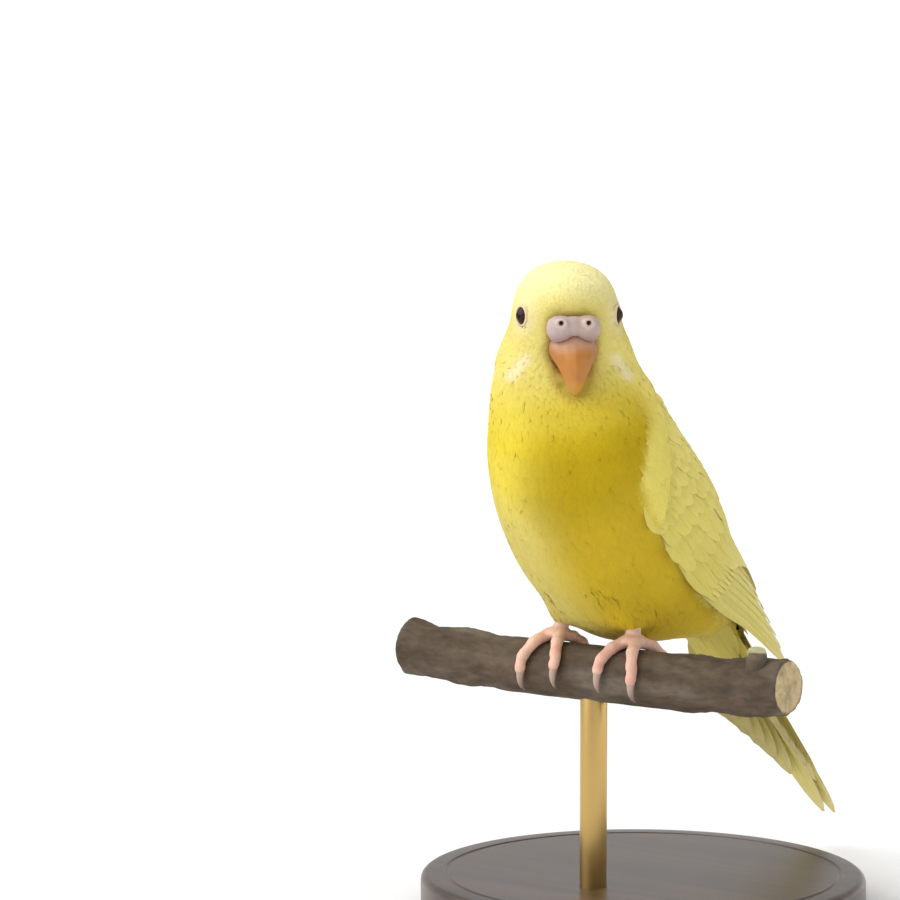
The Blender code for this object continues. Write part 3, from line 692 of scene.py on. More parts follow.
class Vanes:
    """Gathers feathers as closed, cambered vanes with a shaft, to be joined in one mesh."""

    def __init__(self, seed):
        self.chance = np.random.default_rng(seed)
        self.points, self.ways, self.tints, self.strokes = [], [], [], []
        self.faces, self.starts = [], []

    def add(self, place, length, half, profile, tint, tip_tint, camber=0.25, thick=0.2, notch=0.5):
        """place(s, c, h) gives the point at share s of the length, column c from -1 to 1 and height h."""
        columns = len(VANE_COLUMNS)
        rows = len(profile)
        shade = 1 + self.chance.normal(0, 0.018)
        gap = self.chance.integers(2, rows - 1) if self.chance.random() < notch else -1
        gap_side = self.chance.choice((0, columns - 1))
        for over in (1, 0):
            for row, (s, width) in enumerate(profile):
                for k, c in enumerate(VANE_COLUMNS):
                    reach = c * width * (1 + self.chance.normal(0, 0.02) * (abs(c) == 1))
                    if row == gap and k == gap_side:
                        reach *= 0.78
                    along = min(1.0, s + 0.05 * abs(c) ** 1.5 * min(1.0, s * 4) * (1 - s))
                    rise = camber * (1 - c * c) + 0.1 * (k == SHAFT) * (1 - 0.7 * s)
                    deep = thick * (1 - 0.55 * c * c) * (1 - 0.4 * s)
                    height = rise if over else rise - deep
                    point, above = (Vector(place(along, reach * half, height + up)) for up in (0.0, 1.0))
                    self.points.append(point)
                    self.ways.append((above - point).normalized() * (1 if over else -1))
                    blend = min(1.0, 0.35 * abs(c) ** 3 + 0.75 * max(0.0, s - 0.72) / 0.28)
                    # Painted shade towards the root, where the vane lies under the feathers over it; the shaft's own
                    # tone is a little darker.
                    dark = 1 - 0.10 * (1 - s) - 0.05 * (k == SHAFT)
                    self.tints.append(mix(tint, tip_tint, blend) * shade * dark)
                    self.strokes.append((0.5 + abs(reach) * half / 100, s * length / 100 + 0.1 * (c < 0)))
        layer = rows * columns
        start = len(self.points) - 2 * layer
        self.starts.append(start)
        for row in range(rows - 1):
            for k in range(columns - 1):
                a = start + row * columns + k
                b = a + columns
                self.add_quad(a, a + 1, b + 1, b)
                self.add_quad(a + layer, b + layer, b + 1 + layer, a + 1 + layer)
            for k, turn in ((0, 1), (columns - 1, -1)):
                a = start + row * columns + k
                b = a + columns
                self.add_quad(*(a, b, b + layer, a + layer)[::turn])
        for row, turn in ((0, -1), (rows - 1, 1)):
            for k in range(columns - 1):
                a = start + row * columns + k
                self.add_quad(*(a, a + 1, a + 1 + layer, a + layer)[::turn])

    def add_quad(self, a, b, c, d):
        self.faces += [(a, b, c), (a, c, d)]

    def mesh(self, name):
        """One mesh of all vanes, each turned outward as a whole and shaded mostly as a smooth sheet."""
        points = np.array(self.points)
        faces, ways = np.array(self.faces), np.array(self.ways)
        owner = np.searchsorted(self.starts, faces[:, 0], side="right") - 1
        inward = np.bincount(owner, (slopes(points[faces]) * ways[faces[:, 0]]).sum(1))[owner] < 0
        faces[inward] = faces[inward][:, ::-1]
        mesh = mesh_from_arrays(name, points, faces, np.array(self.tints))
        layer = mesh.uv_layers.new(name="barbs")
        layer.uv.foreach_set("vector", np.array(self.strokes)[faces.ravel()].astype(np.float32).ravel())
        own = read_mesh(mesh)[1]
        set_normals(mesh, unit(ways + own * OWN_SHADE))
        return mesh


def wing_vane(vanes, body, side, root, tip, middle, half, lift, tilt, profile, tint, tip_tint, early=1.8, **more):
    """One feather of the wing: root and tip in t, middle line in d, lift and its lower edge's tilt in h."""
    def place(s, across, height):
        t = root + (tip - root) * s
        d = middle[0] + (middle[1] - middle[0]) * s - across
        rise = lift[0] + (lift[1] - lift[0]) * min(1.0, s * early)
        lean = tilt * (0.5 + 0.5 * across / half)
        cover = breast_cover(t, side)
        under = np.interp(d - cover, (-1.5, 1.5), (0.95, 0.0)) * min(1.0, cover / 2)
        tucked = max(under, np.interp(d, (0.5, 6.0), (0.65, 0.0)) * np.interp(t, (-6.0, 8.0), (1.0, 0.0)))
        if side < 0 and t < 0.0:
            d = max(d, 0.8)
        return wing_point(t, d, (rise + lean) * (1 - tucked) + height - 0.9 * under, body, side)

    vanes.add(place, tip - root, half, profile, tint, tip_tint, **more)


def add_wing(vanes, body, side, look):
    """Primaries, secondaries, their coverts, the alula, then the rows of lesser coverts up to the shoulder."""
    feather = functools.partial(wing_vane, vanes, body, side)
    chance = vanes.chance
    flight, wing, pale = np.array(look.flight), np.array(look.wing), np.array(look.tip)
    for k, tip in enumerate(PRIMARY_TIPS):
        start = 1.75 * (k + 0.5) + 0.5
        end = min(start, wing_width(tip) * (0.35 + 0.06 * k))
        feather(
            -4.0, tip, (start, end), 1.9, (0.2, 0.15 + 0.05 * k), 0.55, LONG_VANE, mix(wing, flight, 0.6), pale,
            camber=0.2, notch=0.7,
        )
    for k, tip in enumerate(SECONDARY_TIPS):
        share = k * 4 / (len(SECONDARY_TIPS) - 1)
        start = wing_width(-6.0) * (0.26 + 0.16 * share)
        end = wing_width(tip) * (0.40 + 0.135 * share)
        feather(
            -8.0, tip, (start, end), 2.3, (0.8, 1.25), 0.6, LONG_VANE, mix(wing, flight, 0.35),
            mix(flight, pale, 0.4), camber=0.3,
        )
    for k in range(9):
        start = 1.0 + 1.5 * k
        feather(
            -15.0, 7.5 + 1.1 * k - 0.05 * k * k, (start + 0.4, start), 1.15, (0.7, 0.9), 0.45, LONG_VANE,
            mix(wing, flight, 0.3), flight, camber=0.2,
        )
    for k, tip in enumerate((-4.0, -0.5, 2.5)):
        feather(
            -17.0, tip, (1.4 + 1.1 * k, 0.9 + 1.1 * k), 1.2, (0.9, 1.0), 0.4, LONG_VANE, mix(wing, flight, 0.5),
            flight, camber=0.25,
        )
    tiers = [(-17.0, 3.6, 12, (0.7, 1.45), 3.0), (-23.0, -7.5, 12, (0.6, 1.6), 2.2)]
    tiers += [(tip - 8.5, tip, 12, (0.1, 1.7), 1.2) for tip in (-13.0, -18.0, -22.5, -27.0, -31.0)]
    for row, (root, tip, count, lift, bow) in enumerate(tiers):
        for k in range(count):
            share = (k + 0.25 + 0.5 * (row % 2)) / count
            share = min(max(share + chance.normal(0, 0.006), 0.03), 0.97)
            end = tip + bow * math.sin(math.pi * share) + chance.normal(0, 0.35)
            middle = (wing_width(root) * share, wing_width(end) * share)
            if middle[1] < breast_cover(end, side) - 1.5:
                continue
            half = wing_width(end) / count * 0.62 + 0.25
            tone = mix(wing, look.back, 0.25 + 0.06 * row)
            feather(
                root, end, middle, half, lift, 0.2, ROUND_VANE, tone, mix(tone, pale, 0.15),
                early=1.3 if row > 1 else 1.8, camber=0.15, thick=0.14, notch=0.3,
            )


def saddle_grid(body):
    """The flesh of both wings and the back between them: points, quads and each point's t, u and side."""
    places, marks = [], []
    spots = np.linspace(WING_PAD[0][0], WING_PAD[-1][0], PAD_ROWS)
    shares = np.linspace(0.0, 1.0, PAD_COLUMNS)
    for t in spots:
        width = wing_width(t)
        edges = {}
        for side in (-1, 1):
            edges[side] = [wing_point(t, u * width, pad_height(t, u), body, side) for u in shares]
        row = edges[-1]
        for k in range(1, BACK_COLUMNS):
            share = k / BACK_COLUMNS
            point = edges[-1][-1].lerp(edges[1][-1], share)
            point += Vector((0.0, 0.7, 0.7)) * (BACK_ARCH * 4 * share * (1 - share))
            near, normal, _, _ = body.find_nearest(point)
            if (point - near).dot(normal) < 1.0:
                point = near + normal
            row = row + [point]
        row = row + edges[1][::-1]
        places += row
        marks += [(t, u, -1) for u in shares] + [(t, 2.0, 0)] * (BACK_COLUMNS - 1)
        marks += [(t, u, 1) for u in shares[::-1]]
    return places, grid_faces(PAD_ROWS, 2 * PAD_COLUMNS + BACK_COLUMNS - 1), np.array(marks)


def saddle_mesh(body):
    """The saddle as a closed solid that reaches down into the trunk."""
    places, faces, _ = saddle_grid(body)
    mesh = bpy.data.meshes.new("saddle")
    mesh.from_pydata([HOME + place * MM for place in places], [], faces)
    mesh.update()
    middle = mesh.polygons[len(faces) // 2]
    if middle.normal.y + middle.normal.z < 0:
        mesh.flip_normals()
    return evaluated(mesh, "SOLIDIFY", thickness=PAD_DEPTH * MM, offset=-1.0)


def wing_tree(body, side, first, last):
    """The wing's side as a surface from one t to another."""
    spots = np.linspace(first, last, REAR_ROWS)
    shares = np.linspace(0.0, 1.0, REAR_COLUMNS)
    places = [wing_point(t, u * wing_width(t), 0.6, body, side) for t in spots for u in shares]
    faces = [(a, d, c, b) for a, b, c, d in grid_faces(REAR_ROWS, REAR_COLUMNS)]
    return BVHTree.FromPolygons(places, faces)


# The coat


def scatter(points, triangles, normals, spacing, chance):
    """Roots spread evenly over the triangles, each keeping its own spacing."""
    corner = points[triangles]
    area = np.linalg.norm(slopes(corner), axis=1) / 2
    weight = area / spacing(corner.mean(1)) ** 2
    number = int(weight.sum() * 2.4)
    chosen = chance.choice(len(triangles), number, p=weight / weight.sum())
    a, b = chance.random(number), chance.random(number)
    flip = a + b > 1
    a[flip], b[flip] = 1 - a[flip], 1 - b[flip]
    shares = np.stack([1 - a - b, a, b], 1)[..., None]
    roots = (corner[chosen] * shares).sum(1)
    out = unit((normals[triangles[chosen]] * shares).sum(1))
    apart = spacing(roots)
    tree = point_tree(roots)
    free = np.ones(number, bool)
    kept = []
    for i in range(number):
        if free[i]:
            for _, j, _ in tree.find_range(roots[i], apart[i]):
                free[j] = False
            kept.append(i)
    return roots[kept], out[kept]


def feather_length(points):
    """Length of the body feathers at each point, in millimetres."""
    reach = body_place(points)[0]
    length = np.interp(
        reach, (0, 8, 16, 24, 34, 48, 70, 96, 112), (1.9, 1.9, 2.1, 3.0, 3.9, 4.8, 5.4, 5.6, 6.5)
    )
    near = 0.5 + 0.5 * ramp(bare_distance(points), 0.0, 8.0)
    return length * near * (1 - 0.45 * leg_share(points))


def feather_spacing(points):
    """How far apart the feathers' roots are at each point."""
    return 0.27 + 0.19 * feather_length(points)


def feathered(points, normals):
    """Whether body feathers grow at each point of the skin: not on bare parts nor under the wings' vanes."""
    body = body_tree()
    places, _, marks = saddle_grid(body)
    grid = point_tree(places)
    rear = [wing_tree(body, side, 6.0, 56.0) for side in (1, -1)]
    grown = bare_distance(points) > 0.2
    grown &= ~((points[:, 2] < 3.2) & (leg_gap(points) < 3.0) & (np.abs(points[:, 1]) < 6.0))
    for i in np.flatnonzero(grown):
        _, j, gap = grid.find(points[i])
        t, u, side = marks[j]
        if gap < 3.2 and side and u > 0.05:
            front = u * wing_width(t) < breast_cover(t, side)
            shoulder = t < -31.0 - 3.0 * u
            mantle = u > 0.9 and t < 6.0
            grown[i] = front or shoulder or mantle
            continue
        for tree in rear:
            face = tree.ray_cast(Vector(points[i]), Vector(normals[i]), 12.0)[2]
            if face is not None and 0.15 < face % (REAR_COLUMNS - 1) / (REAR_COLUMNS - 1) < 0.85:
                grown[i] = False
    return grown


def tuft_field(roots, normals, look, chance):
    """Every tuft of barbs of every feather, and one broad vane under them: its start, way, size and shade."""
    length = feather_length(roots) * chance.normal(1, 0.09, len(roots))
    lie = lie_of_coat(roots, normals)
    cross = np.cross(normals, lie)
    yaw = chance.normal(0, 0.07, len(roots))[:, None]
    lie = unit(lie * np.cos(yaw) + cross * np.sin(yaw))
    cross = np.cross(normals, lie)
    bare = 0.5 + 0.5 * ramp(bare_distance(roots), 0.0, 7.0)
    depth = look.depth * bare * (1 - 0.5 * leg_share(roots))
    shade = 1 + chance.normal(0, 0.015, len(roots))
    numbers = np.clip(np.round(2.1 * length + 2.5), 5, 13).astype(int)
    owner = np.repeat(np.arange(len(roots)), numbers)
    order = np.concatenate([np.arange(n) for n in numbers])
    count = len(order)
    share = (order + chance.uniform(0.2, 0.8, count)) / numbers[owner]
    hand = np.where(order % 2, 1.0, -1.0)
    turn = hand * (0.40 * (1 - share) + 0.05) * chance.uniform(0.75, 1.2, count)
    size = length[owner]
    start = roots[owner] + lie[owner] * (0.55 * share * size)[:, None]
    way = unit(lie[owner] * np.cos(turn)[:, None] + cross[owner] * np.sin(turn)[:, None])
    long = size * (0.62 - 0.14 * share) * chance.uniform(0.85, 1.15, count)
    wide = (0.19 + look.barb * 0.075 * size) * chance.uniform(0.8, 1.2, count)
    rise = depth[owner] * chance.uniform(0.45, 0.65, count)
    tufts = {
        "root": roots[owner], "normal": normals[owner], "start": start, "way": way, "length": long,
        "width": wide, "rise": rise, "shade": shade[owner] * chance.normal(1, 0.02, count),
    }
    vanes = {
        "root": roots, "normal": normals, "start": roots, "way": lie, "length": length,
        "width": 0.52 * length + 0.3, "rise": depth * 0.38, "shade": shade,
    }
    return {key: np.concatenate([tufts[key], vanes[key]]) for key in tufts}


# Where along a tuft its rings lie, how wide each is and how high it rises, with its point last; tufts are
# laid as the short kind below a length, start sunk in the skin, and are broad vanes past a width
SHORT_TUFT = ((0.0, 0.6, 0.0), (0.5, 1.0, 0.95), (1.0, 0.0, 0.6))
LONG_TUFT = ((0.0, 0.6, 0.0), (0.33, 1.0, 0.85), (0.7, 0.8, 0.95), (1.0, 0.0, 0.6))
SHORT_LENGTH = 1.7
SUNK = 0.2
WIDE = 0.9
RIDGE = 0.1

# Size of a tuft's patch in the bake map, the body's length in it and the most triangles of one piece
PATCH = 0.003
UNWRAP_LENGTH = 140.0
PIECE_LIMIT = 195000


def tuft_faces(rings):
    """The triangles of one closed, three-sided blade with a point at its end."""
    faces = [(2, 1, 0)]
    for ring in range(0, 3 * (rings - 1), 3):
        for k in range(3):
            a, b = ring + k, ring + (k + 1) % 3
            faces += [(b, a + 3, a), (b + 3, a + 3, b)]
    last = 3 * (rings - 1)
    return np.array(faces + [(last + (k + 1) % 3, last + 3, last + k) for k in range(3)])


def tuft_arrays(field, tree, kind, look):
    """Points, triangles, colours, bake patches and shading normals of tufts laid on the skin."""
    rings = len(kind) - 1
    found = []
    for share, _, _ in kind:
        guess = field["start"] + field["way"] * (field["length"] * share)[:, None]
        hits = [tree.find_nearest(point)[:2] for point in guess]
        near, out = (np.array(part) for part in zip(*hits))
        found.append((near, out, np.linalg.norm(near - guess, axis=1)))
    flat = np.ones(len(field["length"]), bool)
    for (share, _, _), (after, _, _), (near, _, _), (far, _, _) in zip(kind, kind[1:], found, found[1:]):
        step = np.linalg.norm(far - near, axis=1) / ((after - share) * field["length"])
        flat &= (step > 0.5) & (step < 1.5)
    broad = field["width"] > WIDE
    flat &= ~(broad & on_thigh(field["root"]))
    limit = np.where(broad, 0.86, 0.6)
    for _, out, gap in found:
        flat &= ((out * field["normal"]).sum(1) > limit) & (gap < 0.3 + 0.2 * field["length"])
    field = {key: value[flat] for key, value in field.items()}
    count = len(field["length"])
    rows = []
    for (share, _, lift), (near, out, _) in zip(kind, found):
        out = unit(out[flat] + field["normal"])
        rows.append((near[flat] + out * (field["rise"] * lift - (SUNK if share == 0 else 0.0))[:, None], out))
    points = np.empty((count, 3 * rings + 1, 3))
    shading = np.empty_like(points)
    tints = np.empty_like(points)
    patches = np.empty((count, 3 * rings + 1, 2))
    corner = body_unwrap(field["root"])
    for ring in range(rings):
        share, wide, _ = kind[ring]
        place, out = rows[ring]
        ahead = unit(rows[ring + 1][0] - place)
        across = unit(np.cross(out, ahead))
        half = (field["width"] * wide / 2)[:, None]
        tone = body_colour(place, look) * field["shade"][:, None]
        for k, (side, high) in enumerate(((-1, 0.0), (1, 0.0), (0, 1.0))):
            at = 3 * ring + k
            points[:, at] = place + across * half * side + out * np.minimum(0.2 * half, RIDGE) * high
            shading[:, at] = unit(out + across * (0.22 * side))
            # Painted shade: each tuft darker at its root, where it lies under its neighbours, and a little paler
            # towards its point.
            tints[:, at] = tone * (0.95 + 0.06 * share)
            patches[:, at] = corner + np.array(((side + 1) / 2, share)) * PATCH
    points[:, -1] = rows[-1][0]
    shading[:, -1] = rows[-1][1]
    # The point, paler than the painted-shade root.
    tints[:, -1] = tone * 1.02
    patches[:, -1] = corner + np.array((0.5, 1.0)) * PATCH
    faces = tuft_faces(rings)
    upper = faces[((faces % 3 == 2).any(1)) & ~(faces == (2, 1, 0)).all(1)]
    sound = np.nan_to_num((unit(slopes(points[:, upper])) * field["normal"][:, None]).sum(2)).min(1) > 0.4
    points, tints, patches, shading = (part[sound] for part in (points, tints, patches, shading))
    triangles = faces[None] + (np.arange(len(points)) * (3 * rings + 1))[:, None, None]
    return (
        points.reshape(-1, 3), triangles.reshape(-1, 3), tints.reshape(-1, 3), patches.reshape(-1, 2),
        shading.reshape(-1, 3),
    )


def body_unwrap(points):
    """Each point's place in the bake map: its angle round the body across, its way from the crown up."""
    reach, _, angle = body_place(points)
    across = angle / (2 * np.pi) + 0.5
    return 0.02 + 0.95 * np.stack([across, np.clip(reach / UNWRAP_LENGTH, 0, 1)], 1)


# How far from the crown each region of the coat starts
FRONT_REGIONS = {"face": 14, "throat": 25, "breast": 38, "belly": 60, "vent": 84}
REAR_REGIONS = {"mantle": 22, "rump": 75}


def coat_region(roots):
    """Which piece of the coat each root belongs to."""
    reach, _, angle = body_place(roots)
    names = np.full(len(roots), "coat_head", dtype=object)
    front = np.cos(angle) < 0.1
    for side, starts in ((front, FRONT_REGIONS), (~front, REAR_REGIONS)):
        for name, start in starts.items():
            names[(reach > start) & side] = "coat_" + name
    names[leg_share(roots) > 0.5] = "coat_thighs"
    return names


# Shader nodes

BARB_PITCH = 0.34
SCALE_SIZE = 0.75


def add_node(tree, kind, inputs=None, **settings):
    """Adds a shader node: a socket given as an input is linked, anything else is set."""
    made = tree.nodes.new(kind)
    for key, value in settings.items():
        setattr(made, key, value)
    for key, value in (inputs or {}).items():
        if isinstance(value, bpy.types.NodeSocket):
            tree.links.new(value, made.inputs[key])
        else:
            made.inputs[key].default_value = value
    return made


def new_material(name, **inputs):
    """A Principled material with the given inputs, each a value or a function of its node tree."""
    material = bpy.data.materials.new(name)
    material.use_nodes = True
    tree = material.node_tree
    for key, value in inputs.items():
        socket = tree.nodes["Principled BSDF"].inputs[key.replace("_", " ")]
        value = value(tree) if callable(value) else value
        if isinstance(value, bpy.types.NodeSocket):
            tree.links.new(value, socket)
        elif socket.type == "RGBA":
            socket.default_value = (*value, 1.0)
        else:
            socket.default_value = value
    return material


def painted_material(name, tint, bump=None, **inputs):
    """A material of the painted tint, with a bump: its height as noise or as a function, depth and strength."""
    def relief(tree):
        height, deep, strength = bump
        height = height(tree) if callable(height) else noise_of(tree, *height)
        return bump_of(tree, height, deep, strength)

    inputs["Base_Color"] = lambda tree: tint_with(tree, *tint)
    if bump:
        inputs["Normal"] = relief
    return new_material(name, **inputs)


def tint_with(tree, low, high, scale, detail=3.0, stretch=(1.0, 1.0, 1.0)):
    """The painted tint, made a little lighter and darker by noise of a given size in millimetres."""
    tint = add_node(tree, "ShaderNodeAttribute", attribute_name="tint").outputs["Color"]
    grain = noise_of(tree, scale, detail, stretch)
    share = add_node(tree, "ShaderNodeMapRange", {"Value": grain, "To Min": low, "To Max": high}).outputs["Result"]
    return add_node(tree, "ShaderNodeVectorMath", {0: tint, 1: share}, operation="MULTIPLY").outputs["Vector"]


def noise_of(tree, size, detail=3.0, stretch=(1.0, 1.0, 1.0)):
    """Noise whose grain is a given size in millimetres, stretched along an axis by a small factor."""
    place = add_node(tree, "ShaderNodeTexCoord").outputs["Object"]
    place = add_node(tree, "ShaderNodeMapping", {"Vector": place, "Scale": stretch}).outputs["Vector"]
    made = add_node(tree, "ShaderNodeTexNoise", {"Vector": place, "Scale": 1000.0 / size, "Detail": detail})
    return made.outputs["Fac"]


def bump_of(tree, height, deep, strength=1.0):
    """A bump of a given depth in millimetres."""
    made = add_node(tree, "ShaderNodeBump", {"Height": height, "Distance": deep * MM, "Strength": strength})
    return made.outputs["Normal"]


def down_material():
    """Contour feathers: matt keratin barbs, with a soft bloom where they are seen at a glancing angle."""
    return painted_material(
        "contour_feather_keratin", (0.97, 1.03, 1.6), Roughness=0.8, Specular_IOR_Level=0.12, Sheen_Weight=0.03,
        Sheen_Roughness=0.5,
    )


def vane_material():
    """Flight feathers: closed vanes of hooked barbs, smoother than down, with fine slanting barb lines."""
    def lines(tree):
        place = add_node(tree, "ShaderNodeUVMap", uv_map="barbs").outputs["UV"]
        across = add_node(tree, "ShaderNodeSeparateXYZ", {"Vector": place}).outputs
        slant = add_node(tree, "ShaderNodeMath", {0: across["X"], 1: -0.9, 2: across["Y"]}, operation="MULTIPLY_ADD")
        turns = 100.0 / BARB_PITCH * 2 * math.pi
        wave = add_node(tree, "ShaderNodeMath", {0: slant.outputs["Value"], 1: turns}, operation="MULTIPLY")
        return add_node(tree, "ShaderNodeMath", {0: wave.outputs["Value"]}, operation="SINE").outputs["Value"]

    return painted_material(
        "flight_feather_keratin", (0.96, 1.04, 2.4, 2.0), (lines, 0.03, 0.55), Roughness=0.6,
        Specular_IOR_Level=0.2, Sheen_Weight=0.04, Sheen_Roughness=0.4,
    )


def skin_material():
    """Bird's skin under the coat: thin, matt and the coat's own colour where it shows between feathers."""
    return painted_material("plumage_skin", (0.92, 1.0, 1.2), Roughness=0.85, Specular_IOR_Level=0.1)


def lid_material():
    """Eyelid: bare, finely beaded skin with a soft dull shine."""
    return painted_material(
        "eyelid_skin", (0.9, 1.05, 0.5), ((0.35,), 0.05, 0.5), Roughness=0.6, Subsurface_Weight=0.15,
        Subsurface_Scale=1.0, Subsurface_Radius=(0.001, 0.0005, 0.0003),
    )


def eye_material():
    """Eye: wet cornea over a dark brown iris, so one sharp highlight on near black."""
    return painted_material("wet_cornea", (0.85, 1.1, 0.5), Roughness=0.12, IOR=1.336, Specular_IOR_Level=0.35)


def cere_material():
    """Cere: waxy bare skin, softly shining, with light entering its surface and fine pores."""
    return painted_material(
        "waxy_cere_skin", (0.93, 1.04, 0.7), ((0.4, 4.0), 0.05, 0.6), Roughness=0.48, Subsurface_Weight=0.25,
        Subsurface_Scale=1.0, Subsurface_Radius=(0.0015, 0.0007, 0.0006),
    )


def horn_material():
    """Beak: satin keratin with faint growth lines and a glow from light entering the thin edges."""
    return painted_material(
        "beak_keratin", (0.93, 1.06, 1.1, 3.0, (1.0, 1.0, 0.4)), ((0.8, 3.0, (1.0, 1.0, 0.35)), 0.04, 0.5),
        Roughness=0.42, Subsurface_Weight=0.2, Subsurface_Scale=1.0, Subsurface_Radius=(0.0016, 0.0007, 0.0002),
        Coat_Weight=0.12, Coat_Roughness=0.35,
    )


def foot_material():
    """Foot: soft scaled skin, each scale about three quarters of a millimetre, dull with pink below."""
    def scales(tree):
        place = add_node(tree, "ShaderNodeTexCoord").outputs["Object"]
        inputs = {"Vector": place, "Scale": 1000.0 / SCALE_SIZE}
        return add_node(tree, "ShaderNodeTexVoronoi", inputs, feature="DISTANCE_TO_EDGE").outputs["Distance"]

    return painted_material(
        "scaled_foot_skin", (0.88, 1.06, 1.3), (scales, 0.14, 0.8), Roughness=0.6, Subsurface_Weight=0.2,
        Subsurface_Scale=1.0, Subsurface_Radius=(0.002, 0.0008, 0.0005),
    )


def claw_material():
    """Claw: hard smooth horn, darker to the tip, with a satin shine."""
    return painted_material("claw_horn", (0.9, 1.05, 0.6), Roughness=0.35, Coat_Weight=0.2, Coat_Roughness=0.3)


def bark_material():
    """Thin dry bark: rough, grey brown, with lighter worn ridges and dark pores."""
    return painted_material(
        "dry_twig_bark", (0.3, 1.7, 1.8, 6.0, (0.45, 1.0, 1.0)), ((0.9, 6.0, (0.4, 1.0, 1.0)), 0.25, 0.9),
        Roughness=0.88, Specular_IOR_Level=0.25,
    )


def brass_material(look):
    """Satin brass rod: drawn metal with fine lines along it, softly blurred reflections."""
    drawn = (1.0, 1.0, 0.03)

    def haze(tree):
        inputs = {"Value": noise_of(tree, 0.4, 2.0, drawn), "To Min": 0.26, "To Max": 0.4}
        return add_node(tree, "ShaderNodeMapRange", inputs).outputs["Result"]

    return new_material(
        "drawn_brass", Base_Color=tuple(look.brass), Metallic=1.0, Roughness=haze,
        Normal=lambda tree: bump_of(tree, noise_of(tree, 0.3, 2.0, drawn), 0.01, 0.4),
    )


def wood_material(look):
    """Stained hardwood base: dark walnut grain along X under satin varnish, with short open pores."""
    def grain(tree):
        stops = add_node(tree, "ShaderNodeValToRGB", {"Fac": noise_of(tree, 5.0, 5.0, (0.07, 1.0, 1.0))})
        for stop, position, tone in zip(stops.color_ramp.elements, (0.35, 0.68), (0.45, 1.0)):
            stop.position = position
            stop.color = (*(value * tone for value in look.wood), 1.0)
        return stops.outputs["Color"]

    return new_material(
        "varnished_walnut", Base_Color=grain, Roughness=0.45, Coat_Weight=0.4, Coat_Roughness=0.25,
        Normal=lambda tree: bump_of(tree, noise_of(tree, 0.5, 3.0, (0.06, 1.0, 1.0)), 0.03, 0.5),
    )


# Pieces


def skin_depth(points, look):
    """How far the skin lies inside the solids: the coat's depth, less at the bare parts."""
    bare = 0.45 + 0.55 * ramp(bare_distance(points), 0.0, 6.0)
    return look.depth * bare * (1 - 0.6 * leg_share(points))


class BUDGERIGAR_OT_skin(bpy.types.Operator):
    """Builds one skin over head, neck, body, legs and the root of the tail"""

    bl_idname = "budgerigar.skin"
    bl_label = "Skin"

    def execute(self, context):
        look = context.scene.budgerigar_plumage
        bm = joined_copies(FLESH, SKIN_OVERLAP)
        rings = []
        for s, wide, under, over in TAIL_CORE:
            ring = []
            for turn in np.linspace(0, 2 * np.pi, 24, endpoint=False):
                level = (over if math.cos(turn) > 0 else under) * math.cos(turn)
                place = tail_point([s], [wide * math.sin(turn)], [level])[0]
                ring.append(bm.verts.new(HOME + Vector(place) * MM))
            rings.append([bm.edges.new((a, b)) for a, b in zip(ring, ring[1:] + ring[:1])])
        for ring, after in zip(rings, rings[1:]):
            bmesh.ops.bridge_loops(bm, edges=ring + after)
        bmesh.ops.holes_fill(bm, edges=rings[0] + rings[-1], sides=0)
        bmesh.ops.recalc_face_normals(bm, faces=bm.faces)
        body = body_tree()
        add_mesh(bm, saddle_mesh(body))
        mesh = remeshed(mesh_from_bmesh(bm), SKIN_VOXEL)
        soften(mesh, 6)
        wings = np.linspace(-42.0, -4.0, 60)
        edge = point_tree([wing_point(t, 0.6, 0.8, body, side) for t in wings for side in (1, -1)])
        near = [i for i, point in enumerate(read_mesh(mesh)[0]) if edge.find(point)[2] < 4.5]
        soften(mesh, 16, near)
        legs = body_tree(("leg_left", "leg_right"))
        near = [
            i for i, point in enumerate(read_mesh(mesh)[0])
            if all(tree.find_nearest(point)[3] < CREASE for tree in (legs, body))
        ]
        soften(mesh, 30, near)
        points, normals, _ = read_mesh(mesh)
        write_points(mesh, points - normals * (SKIN_OVERLAP + skin_depth(points, look))[:, None])
        mesh = remeshed(mesh, SKIN_VOXEL)
        soften(mesh, 4)
        paint(mesh, body_colour(read_mesh(mesh)[0], look))
        finish_piece("skin", mesh, skin_material(), "plumage", *FLESH)
        return {"FINISHED"}


# The eyelid's section: radius and height from the eye's middle
LID_PROFILE = (
    (1.86, 1.48), (1.87, 1.63), (1.98, 1.73), (2.12, 1.66), (2.3, 1.38), (2.48, 0.95), (2.58, 0.5), (2.5, 0.2),
    (2.38, 0.4),
)
LID_BEADS = 24


